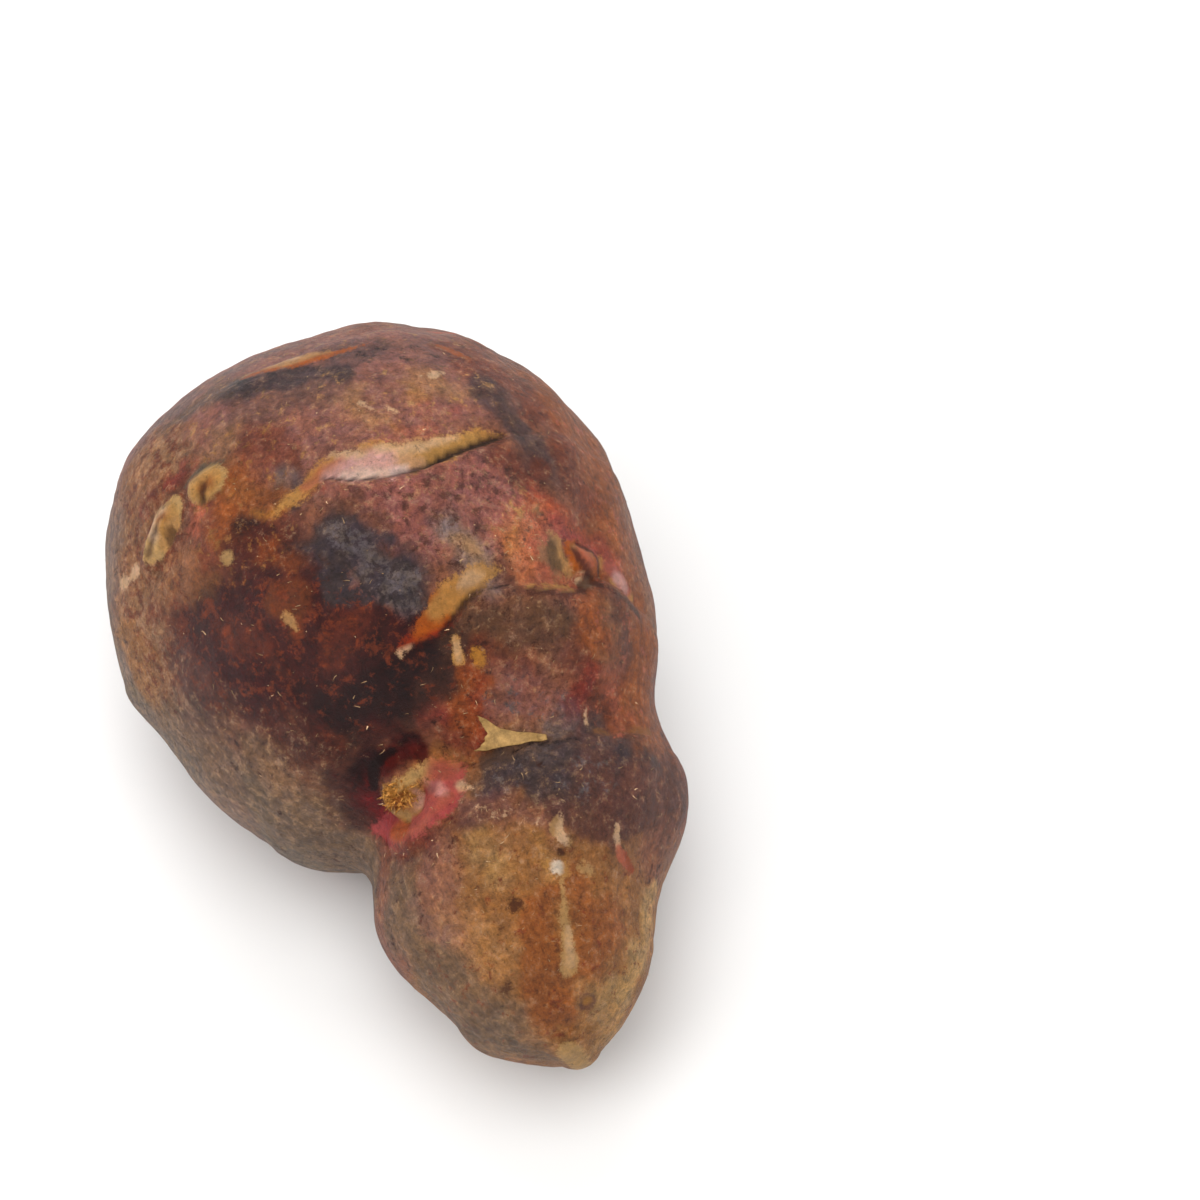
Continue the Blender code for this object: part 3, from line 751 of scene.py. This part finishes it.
    # painted shadow under the scale's tail, in the crack
    ("black", (-16.9, 12, -16.9, 18, -17.5, 33), (0.1, 0.25, 0.2), 0.3, 0.4, 0.85, -0.3),
    ("tan", (-16.7, 36, -17, 48, -16.3, 62), (0.1, 0.35), 1, 0.6, 0.5),
    ("cream", (-15, 37.4, -16.4, 38), (0.28, 0.22), 0.2),
    ("umber", (-18.2, 20, -18, 30), (0.12, 0.15), 0.4, 0.3, 0.7, -0.2),
    # the front bud: its collar and its stub
    (
        "pink", (-16.2, -9, -17.5, -15, -18.2, -22, -18.4, -34, -17.6, -48, -16.2, -60),
        (0.7, 1.6, 2, 2.2, 1.9, 0.8), 0.35, 1.1,
    ),
    ("salmon", (-17.6, -20, -18.5, -33, -18.2, -44), (0.9, 1.2, 1), 0.5, 1.4, 0.75),
    ("orange", (-17.9, -48, -18.5, -44), (0.6, 0.7), 0.5, 1, 0.55),
    ("pink", (-16.6, -21, -18, -28, -18.6, -36), (0.9, 0.8, 0.5), 0.5, 1.2, 0.6),
    ("gold", (-14.7, -27, -15, -20, -15.5, -14), (0.5, 1, 0.8), 0.6, 1),
    ("straw", (-14.3, -27, -14.5, -21), (0.3, 0.4), 0.7, 0.5, 0.8),
    ("salmon", (-15.2, -18, -15.9, -11), 0.9, 0.6, 1.2, 0.7),
    ("pink", (-15.9, -17, -17, -12), (0.8, 0.6), 0.7, 1, 0.6),
    ("flesh", (-15.8, -24, -16.9, -20, -17.7, -19), (0.2, 0.35, 0.2), 0.7, 0.8, 0.5),
    ("crimson", (-16.2, -26, -16.8, -23), 0.5, 0.7, 0.8, 0.5),
    ("umber", (-16.2, -29, -17.4, -34, -17.4, -42), (0.1, 0.2, 0.1), 0.3, 0.4, 0.8, -0.3),
    ("gold", (-15.5, -38, -15.1, -35.6), 2, 0.5, 0.6, 0.95),
    ("flesh", (-16.6, -36, -16.2, -32), (0.6, 0.5), 0.6, 0.8, 0.6),
    ("amber", (-15.6, -38, -15.1, -36), 1.3, 0.9, 0.6, 0.75),
    # painted shade in the fold above the stub
    ("black", (-13.9, -44, -13, -38, -12.9, -30), (0.4, 0.7, 0.5)),
    ("straw", (-14.2, -35, -14.6, -30), (0.4, 0.5), 0.8, 0.6, 0.8),
    ("straw", (-15.8, -43, -17, -40), (0.4, 0.35), 0.6, 0.5, 0.8),
    ("rust", (-15.9, -38.5, -15.3, -35.5), (0.5, 0.6), 0.7, 0.6, 0.7, -0.35),
    ("cream", (-17.8, -11, -18.8, -7), (0.35, 0.2), 0.3),
    # the pale run down the nose, and the marks beside it
    ("straw", (-24.6, 20, -26, 18, -27.2, 20), (0.3, 0.6, 0.5), 1.1, 0.6, 0.6),
    ("cream", (-24.6, 20.5, -25.8, 19.4, -26.8, 19.6), (0.2, 0.4, 0.3), 0.9),
    ("umber", (-27.9, 18.4), 0.5, 0.5, 0.5, 0.9, -0.2),
    ("gold", (-28.6, 11, -29.4, 18), 0.6, 0.7, 0.7, 0.6),
    ("straw", (-30.2, 16, -34, 13, -37.8, 9), (0.25, 0.6, 0.95), 0.4, 0.6, 0.75),
    ("cream", (-34.4, 13.4, -37.4, 10.6), (0.1, 0.35), 0.4, 0.5, 0.5),
    ("white", (-28.9, 15, -29.2, 14.6), 0.5, 0.4),
    ("straw", (-29.6, 27, -29.9, 30), (0.8, 0.7), 0.6, 0.8, 0.7),
    ("cream", (-26.2, 43.6, -28.2, 45), (0.3, 0.4), 0.3),
    ("vermilion", (-28.6, 47, -29.6, 56), (0.9, 0.4), 0.6, 0.5, 0.7),
    ("salmon", (-28.2, 45.4, -29.4, 50), (0.5, 0.3), 0.4, 0.4, 0.8),
    ("umber", (-31.1, -9), 0.65, 0.6, 0.8, 0.85, -0.15),
    ("umber", (-32.4, -19), (0.45, 0.4), 0.5, 0.5, 0.7, -0.1),
    ("umber", (-37.1, -36, -37.2, -33), 0.5, 0.8, 0.8, 0.75, -0.1),
    ("plum", (-40.4, 22, -40.8, 24), 0.7, 0.8, 0.8, 0.8, -0.1),
    ("amber", (-40.6, 23), 0.3, 0.5, 0.5, 0.6),
    ("umber", (-19.2, 17.6, -19.4, 18.8), (0.25, 0.2), 0.4, 0.4, 0.85, -0.1),
)
SLOPE = 0.45  # a crisp edge is stored as a slope at least this many mm each way, which the material sharpens
COLOUR_FROM = 0.1  # how high on that slope the stroke's colour starts
COLOUR_RUN = 0.35  # and how much higher it is whole
LIFT_BEYOND = 0.15  # how far past its edge a stroke lifts the skin
LIFT_RUN = 0.5  # and over what width it stops
BROAD_FRAY = (2.4, 3)  # the size of the rags along an edge, and their octaves
CRISP_FRAY = (1.5, 2)
BROAD_RUN = 1.6  # a broad stroke's edge is its softness times this wide
DUST_RUN = 2.0
WANDER = 2.4  # how far painted edges wander, and over what size
WANDER_SIZE = 3.2
WANDER_SEEDS = (20, 30, 40)


def stroke_inside(points, stroke, seed, fray=CRISP_FRAY):
    """How far inside a stroke's ragged edge each point is; far outside where it is out of reach."""
    widths = np.atleast_1d(stroke.widths)
    margin = widths.max() + stroke.rag + 3 * max(stroke.soft, SLOPE)
    corners = places(stroke.places)
    near = np.all((points > corners.min(axis=0) - margin) & (points < corners.max(axis=0) + margin), axis=1)
    inside = np.full(len(points), -FARTHEST)
    away, share = off_path(points[near], stroke.places)
    width = np.interp(share, np.linspace(0, 1, len(widths)), widths)
    size, octaves = fray
    inside[near] = width - away + stroke.rag * rough_noise(points[near], size, seed, octaves)
    return inside


def wandering(points):
    """Points pushed about a little, so that the edges of what is painted there wander."""
    push = [rough_noise(points, WANDER_SIZE, seed, 4) for seed in WANDER_SEEDS]
    return points + WANDER * np.stack(push, axis=1)


def broad_mask(points, stroke, seed):
    return rises(stroke_inside(points, stroke, seed, BROAD_FRAY), BROAD_RUN * stroke.soft)


def lay_over(colour, stroke, mask):
    """Lays a stroke's colour over an array of colours."""
    colour += (linear(stroke.colour) - colour) * mask[:, None]


def field_paint(points):
    colour = np.tile(linear("skin"), (len(points), 1))
    for seed, stroke in FIELDS:
        lay_over(colour, stroke, stroke.cover * broad_mask(points, stroke, seed))
    return colour


def blotch_paint(points):
    """The colour of the blotches and their share."""
    colour = np.tile(linear("umber"), (len(points), 1))
    share = np.full(len(points), BLOTCH_SHARE)
    for seed, stroke in BLOTCHES:
        mask = broad_mask(points, stroke, seed)
        lay_over(colour, stroke, mask)
        share += (stroke.cover - share) * mask
    return colour, share


def dustiness(points):
    level = np.full(len(points), DUST_ELSEWHERE)
    for seed, stroke in DUSTY:
        level += (stroke.cover - level) * rises(stroke_inside(points, stroke, seed), DUST_RUN * stroke.soft)
    return level


def crisp_paint(points, under):
    """The colour of the crisp strokes over the colour under them, and a level that is 0.5 at their edges."""
    colour = under.copy()
    level = np.zeros(len(points))
    for seed, stroke in CRISP:
        own = np.clip(0.5 + stroke_inside(points, stroke, seed) / (2 * max(stroke.soft, SLOPE)), 0, 1)
        lay_over(colour, stroke, stroke.cover * np.clip((own - COLOUR_FROM) / COLOUR_RUN, 0, 1))
        level = np.maximum(level, own)
    return colour, level


def stroke_relief(points):
    relief = np.zeros(len(points))
    for seed, stroke in CRISP:
        if stroke.lift:
            relief += stroke.lift * rises(stroke_inside(points, stroke, seed) + LIFT_BEYOND, LIFT_RUN)
    return relief


# ---- materials


class Nodes:
    """A short way to write a material's nodes and links."""

    def __init__(self, name):
        self.material = bpy.data.materials.new(name)
        self.material.use_nodes = True
        self.tree = self.material.node_tree
        self.shader = self.tree.nodes["Principled BSDF"]

    def add(self, kind, inputs=None, **settings):
        node = self.tree.nodes.new(kind)
        for key, value in settings.items():
            setattr(node, key, value)
        for key, value in (inputs or {}).items():
            if isinstance(value, bpy.types.NodeSocket):
                self.tree.links.new(value, node.inputs[key])
            else:
                node.inputs[key].default_value = value
        return node

    def attribute(self, name):
        return self.add("ShaderNodeAttribute", attribute_name=name).outputs

    def math(self, operation, first, second):
        return self.add("ShaderNodeMath", {0: first, 1: second}, operation=operation).outputs[0]

    def spread(self, value, low, high, to_low=0.0, to_high=1.0):
        """value from low to high, mapped to to_low to to_high and kept inside them."""
        inputs = {"Value": value, "From Min": low, "From Max": high, "To Min": to_low, "To Max": to_high}
        return self.add("ShaderNodeMapRange", inputs).outputs["Result"]

    def noise(self, vector, per_mm, detail, roughness, distortion=0.0):
        inputs = {"Vector": vector, "Scale": per_mm / MM, "Detail": detail, "Roughness": roughness,
                  "Distortion": distortion}
        return self.add("ShaderNodeTexNoise", inputs).outputs["Fac"]

    def mix(self, share, first, second, blend="MIX"):
        inputs = {0: share, 6: first, 7: second}
        return self.add("ShaderNodeMix", inputs, data_type="RGBA", blend_type=blend).outputs[2]

    def link(self, output, socket):
        self.tree.links.new(output, self.shader.inputs[socket])

    def bump(self, height, strength, distance):
        node = self.add("ShaderNodeBump", {"Height": height, "Strength": strength, "Distance": distance})
        self.link(node.outputs["Normal"], "Normal")

    def fixed(self, values):
        """Constant values for the shader's sockets."""
        for socket, value in values.items():
            self.shader.inputs[socket].default_value = value


def skin_material():
    n = Nodes("tuber_skin")
    paint = n.attribute("paint")
    second = n.attribute("second")
    crisp = n.attribute("crisp")
    grain_at = n.attribute("grain")["Vector"]
    here = n.add("ShaderNodeTexCoord").outputs["Object"]
    fibres = n.noise(grain_at, 2.0, detail=5, roughness=0.7)
    speckle = n.noise(here, 2.2, detail=6, roughness=0.85)
    blotches = n.noise(here, 0.7, detail=8, roughness=0.74, distortion=0.3)
    # the second colour shows where the blotches pass the share that is painted for it
    level = n.math("ADD", blotches, n.math("MULTIPLY", n.math("SUBTRACT", second["Alpha"], 0.5), 0.5))
    colour = n.mix(n.spread(level, 0.46, 0.54, 0.0, 0.85), paint["Color"], second["Color"])
    # the dusty film, thick in some places and rubbed off in others
    film = n.noise(here, 0.9, detail=9, roughness=0.86)
    film = n.math("ADD", film, n.math("MULTIPLY", n.math("SUBTRACT", paint["Alpha"], 0.5), 0.2))
    colour = n.mix(n.spread(film, 0.51, 0.63, 0.0, 0.6), colour, tuple(linear("lint")) + (1,))
    # the crisp strokes, their edges frayed
    frayed = n.math("ADD", crisp["Alpha"], n.spread(speckle, 0.4, 0.6, -0.2, 0.2))
    inside = n.spread(frayed, 0.36, 0.64)
    colour = n.mix(inside, colour, crisp["Color"])
    # the grain, lighter and darker
    mottle = n.noise(here, 0.9, detail=9, roughness=0.8, distortion=0.4)
    light = n.math("ADD", n.spread(fibres, 0.38, 0.62, 0.92, 1.08), n.spread(speckle, 0.38, 0.62, -0.2, 0.2))
    light = n.math("ADD", light, n.spread(mottle, 0.4, 0.6, -0.34, 0.34))
    clouds = n.spread(n.noise(here, 0.2, detail=6, roughness=0.65), 0.38, 0.62, 0.85, 1.15)
    light = n.math("MULTIPLY", light, clouds)
    # cooler in some places and warmer in others
    hues = n.spread(n.noise(here, 0.55, detail=8, roughness=0.78, distortion=0.5), 0.42, 0.58)
    hues = n.mix(hues, (0.95, 0.95, 1.09, 1), (1.08, 1.0, 0.88, 1))
    # both count half as much on the crisp strokes
    hues = n.mix(n.math("MULTIPLY", inside, 0.5), n.mix(1.0, hues, light, "MULTIPLY"), (1, 1, 1, 1))
    colour = n.mix(1.0, colour, hues, "MULTIPLY")
    pores = n.spread(n.noise(here, 1.6, detail=5, roughness=0.7), 0.33, 0.4, 0.6, 1.0)
    colour = n.mix(1.0, colour, pores, "MULTIPLY")
    n.link(colour, "Base Color")
    dusty = n.spread(paint["Alpha"], 0.0, 0.6, 0.0, 0.16)
    n.link(n.math("ADD", n.spread(speckle, 0.3, 0.7, 0.3, 0.5), dusty), "Roughness")
    lumps = n.math("ADD", speckle, n.math("MULTIPLY", mottle, 1.6))
    n.bump(n.math("ADD", n.math("MULTIPLY", fibres, 0.5), lumps), 0.9, 0.5 * MM)
    n.fixed({"Specular IOR Level": 0.28, "Sheen Weight": 0.02, "Sheen Roughness": 0.4})
    n.fixed({"Sheen Tint": (0.75, 0.8, 0.9, 1)})
    return n.material


# ---- pieces


def in_frame(points):
    """The form's own millimetres as metres in the frame."""
    return (points - TUBER_ZERO) * MM


def placed(name, data):
    """A new object in the scene."""
    made = bpy.data.objects.new(name, data)
    bpy.context.scene.collection.objects.link(made)
    return made


def mesh_of(name, bm):
    """A mesh made of a bmesh, which it uses up."""
    mesh = bpy.data.meshes.new(name)
    bm.to_mesh(mesh)
    bm.free()
    return mesh


def add_piece(mesh, material, *replaced):
    piece = placed(mesh.name, mesh)
    mesh.materials.append(material)
    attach(piece, "root")
    if replaced:
        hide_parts(*replaced)
    return piece


def store(mesh, name, kind, *columns):
    """An attribute of each point. A colour's last column is a level, kept as its alpha."""
    key = "color" if kind == "FLOAT_COLOR" else "vector"
    values = np.column_stack(columns).astype(np.float32)
    mesh.attributes.new(name, kind, "POINT").data.foreach_set(key, values.ravel())


def make_skin():
    bm = grid_on_form()
    smooth = settled(positions(bm))
    move_to(bm, in_frame(raised(smooth)))
    bmesh.ops.recalc_face_normals(bm, faces=bm.faces[:])
    mesh = mesh_of("tuber_skin", bm)
    mesh.shade_smooth()
    wandered = wandering(smooth)
    under = field_paint(wandered)
    store(mesh, "paint", "FLOAT_COLOR", under, dustiness(wandered))
    store(mesh, "second", "FLOAT_COLOR", *blotch_paint(wandered))
    store(mesh, "crisp", "FLOAT_COLOR", *crisp_paint(smooth, under))
    store(mesh, "grain", "FLOAT_VECTOR", streak_space(smooth) * MM)
    add_piece(mesh, skin_material(), "tuber")


def plain_material(name, colour):
    """One colour, with a grain."""
    n = Nodes(name)
    here = n.add("ShaderNodeTexCoord").outputs["Object"]
    grain = n.noise(here, 1.4, detail=5, roughness=0.75)
    pigment = tuple(linear(colour)) + (1,)
    n.link(n.mix(1.0, pigment, n.spread(grain, 0.3, 0.7, 0.55, 1.4), "MULTIPLY"), "Base Color")
    n.fixed({"Roughness": 0.65, "Specular IOR Level": 0.25})
    n.bump(grain, 0.5, 0.2 * MM)
    return n.material


def on_skin(points, lift):
    """Points near the form, moved on to the finished skin and lifted off it by so many millimetres."""
    points = settled(settled(points))
    return raised(points) + outward(points) * np.broadcast_to(lift, len(points))[:, None]


def sheet_of(grid):
    """A bmesh through a grid of points."""
    bm = bmesh.new()
    corners = [[bm.verts.new(in_frame(point)) for point in row] for row in grid]
    for upper, lower in zip(corners, corners[1:]):
        for j in range(len(upper) - 1):
            bm.faces.new((upper[j], lower[j], lower[j + 1], upper[j + 1]))
    return bm


# The papery scale's upper and lower edges, each a list of (along, round) from its left to its right.
SCALE_EDGES = (
    ((-12.3, 2.5), (-13.1, 6.0), (-14.3, 9.5), (-15.3, 15.0), (-16.3, 24.0)),
    ((-15.2, -1.5), (-15.8, 3.0), (-16.1, 8.0), (-16.6, 15.0), (-16.8, 24.0)),
)
SCALE_SPLIT = 0.27  # the share of its length that is split
SCALE_RAG = 0.07
SCALE_LIFT = 0.12
SCALE_CURL = 0.8
SCALE_HORNS = 0.3  # how much more its horns curl
SCALE_RIPPLE = 0.16
SCALE_THICKNESS = 0.16


def make_scale():
    """The papery leaf scale in the neck, split into two curling horns on its left."""
    u, v = np.meshgrid(np.linspace(0, 1, 41), np.linspace(0, 1, 25))
    rag = noise(np.stack([v, v, v], -1).reshape(-1, 3), 0.13, seed=4).reshape(v.shape)
    notch = SCALE_SPLIT * (1 - (2 * v - 1) ** 2) + SCALE_RAG * rag
    u = notch + (1 - notch) * u
    upper, lower = [
        np.stack([np.interp(u, np.linspace(0, 1, len(edge)), values) for values in zip(*edge)], axis=-1)
        for edge in SCALE_EDGES
    ]
    spots = upper * (1 - v[..., None]) + lower * v[..., None]
    flat = places(spots.reshape(-1, 2))
    curl = SCALE_LIFT + SCALE_CURL * (1 - u) ** 1.5 + SCALE_HORNS * np.abs(2 * v - 1) * (1 - u)
    ripple = SCALE_RIPPLE * rough_noise(flat * np.array([0.6, 2.4, 1.0]), 1.3, seed=21)
    grid = on_skin(flat, curl.ravel() + ripple).reshape(u.shape + (3,))
    mesh = mesh_of("papery_scale", sheet_of(grid))
    mesh.shade_smooth()
    piece = add_piece(mesh, plain_material("papery_scale", "paper"))
    solid = piece.modifiers.new("thickness", "SOLIDIFY")
    solid.thickness = SCALE_THICKNESS * MM
    solid.offset = 0.0


# Shares of a blade's length, and of its width there.
BLADE_TAPER = ((0.0, 1.0), (0.35, 0.9), (0.7, 0.6), (1.0, 0.1))


def blades(bm, roots, ways, ups, lengths, widths, bends):
    """Thin tapering blades from roots, each along its way and curling towards its up."""
    rows = zip(roots, ways, ups, unit(np.cross(ways, ups)), lengths, widths, bends)
    for root, way, up, side, length, width, (rise, turn) in rows:
        left, right = [], []
        for step, thin in BLADE_TAPER:
            bent = up * rise * length * step**2 + side * turn * length * step**2
            middle = root + way * length * step + bent
            left.append(bm.verts.new(in_frame(middle - side * width * thin / 2)))
            right.append(bm.verts.new(in_frame(middle + side * width * thin / 2)))
        for i in range(len(BLADE_TAPER) - 1):
            bm.faces.new((left[i], left[i + 1], right[i + 1], right[i]))


def along_skin(ups, turn):
    """Unit vectors at right angles to the skin's own, each turned round it."""
    first = unit(np.cross(ups, [0.0, 1.0, 0.0]))
    return first * np.cos(turn)[:, None] + np.cross(ups, first) * np.sin(turn)[:, None]


def make_lint(name, colour, seed, count, length, width, low, high):
    """Short curls and flecks of lifted skin, scattered between two corners given as (along, round)."""
    rng = np.random.default_rng(seed)
    flat = places(rng.uniform(low, high, (count, 2)))
    ups = outward(flat)
    ways = along_skin(ups, rng.uniform(0, 2 * math.pi, count))
    bm = bmesh.new()
    sizes = length * rng.uniform(0.3, 1.0, count) ** 2
    bends = np.column_stack([rng.uniform(0.0, 0.5, count), rng.uniform(-0.8, 0.8, count)])
    blades(bm, on_skin(flat, 0.02), ways, ups, sizes, width * rng.uniform(0.5, 1.2, count), bends)
    add_piece(mesh_of(name, bm), plain_material(name, colour))


STUB = (-15.2, -36.5)  # its place
STUB_RADIUS = 1.9
STUB_FIBRES = 150


def make_stub_fibres():
    """The frayed end of the stem on the front bud."""
    rng = np.random.default_rng(5)
    count = STUB_FIBRES
    centre = places(STUB)
    ups = outward(centre)
    out = along_skin(ups, rng.uniform(0, 2 * math.pi, count))
    share = rng.uniform(0.05, 1.0, count)[:, None] ** 0.5
    roots = on_skin(centre + out * STUB_RADIUS * share, -0.1)
    ways = ups + out * rng.uniform(0.1, 1.1, count)[:, None] * share
    ways = unit(ways + rng.normal(0, 0.25, (count, 3)))
    bends = rng.uniform(-0.4, 0.4, (count, 2))
    bm = bmesh.new()
    lengths = rng.uniform(0.4, 1.1, count)
    blades(bm, roots, ways, np.cross(ways, out), lengths, rng.uniform(0.15, 0.4, count), bends)
    add_piece(mesh_of("bud_fibres", bm), plain_material("bud_fibres", "gold"))


# ---- stage

CAMERA_AZIMUTH = -20.0
CAMERA_ELEVATION = 57.0
CAMERA_DISTANCE = 311.7
LENS = 85.0
AIM_HEIGHT = 20.0  # the camera aims this high in the form's middle, and then this far to the right and up
AIM_RIGHT = 17.4
AIM_UP = 11.3


def view_axes(azimuth, elevation):
    """Unit vectors to the right, up and back, as a camera at those angles sees them."""
    az, el = math.radians(azimuth), math.radians(elevation)
    right = np.array([math.cos(az), math.sin(az), 0.0])
    back = np.array([math.sin(az) * math.cos(el), -math.cos(az) * math.cos(el), math.sin(el)])
    return right, np.cross(back, right), back


def set_matrix(obj, axes, place):
    matrix = np.eye(4)
    matrix[:3] = np.column_stack([*axes, place])
    obj.matrix_world = Matrix(matrix.tolist())


def make_camera():
    axes = view_axes(CAMERA_AZIMUTH, CAMERA_ELEVATION)
    right, up, back = axes
    aim = in_frame(np.array([0.0, 0.0, AIM_HEIGHT])) + (right * AIM_RIGHT + up * AIM_UP) * MM
    data = bpy.data.cameras.new("camera")
    data.lens = LENS
    data.sensor_width = 36.0
    data.clip_start = 0.01
    camera = placed("camera", data)
    set_matrix(camera, axes, aim + back * CAMERA_DISTANCE * MM)
    bpy.context.scene.camera = camera


# Lights with their distance and size in metres, aimed just above the floor.
Light = namedtuple("Light", "azimuth elevation distance size watts colour")
LIGHTS = {
    "top": Light(-20, 80, 0.60, 0.50, 2.15, (1.0, 0.99, 0.97)),
    "left": Light(-80, 45, 0.60, 0.40, 0.95, (1.0, 0.99, 0.98)),
    "front": Light(15, 28, 0.60, 0.50, 0.6, (1.0, 0.99, 0.97)),
    "back": Light(170, 48, 0.60, 0.45, 1.3, (0.98, 0.99, 1.0)),
}
LIT_HEIGHT = 0.02
WORLD_COLOUR = (1.0, 0.99, 0.98, 1.0)
WORLD_STRENGTH = 0.5


def make_lights():
    for name, light in LIGHTS.items():
        data = bpy.data.lights.new(name, "AREA")
        data.shape = "DISK"
        data.size = light.size
        data.energy = light.watts
        data.color = light.colour
        axes = view_axes(light.azimuth, light.elevation)
        set_matrix(placed(name, data), axes, axes[2] * light.distance + np.array([0, 0, LIT_HEIGHT]))
    world = bpy.data.worlds.new("studio")
    world.use_nodes = True
    background = world.node_tree.nodes["Background"]
    background.inputs["Color"].default_value = WORLD_COLOUR
    background.inputs["Strength"].default_value = WORLD_STRENGTH
    bpy.context.scene.world = world


FLOOR_REACH = 2.0  # metres from its middle to each side


def make_floor():
    bm = bmesh.new()
    bmesh.ops.create_grid(bm, x_segments=1, y_segments=1, size=FLOOR_REACH)
    n = Nodes("floor")
    n.fixed({"Base Color": (0.86, 0.86, 0.86, 1), "Roughness": 0.8, "Specular IOR Level": 0.1})
    mesh = mesh_of("floor", bm)
    mesh.materials.append(n.material)
    placed("floor", mesh)


make_skin()
make_scale()
make_stub_fibres()
make_lint("skin_lint", "lint", seed=1, count=900, length=0.7, width=0.07, low=(-38, -110), high=(34, 110))
make_lint("pale_flecks", "cream", seed=2, count=60, length=0.6, width=0.13, low=(-24, -75), high=(28, 75))
make_camera()
make_lights()
make_floor()
bpy.context.scene.view_settings.view_transform = "Standard"
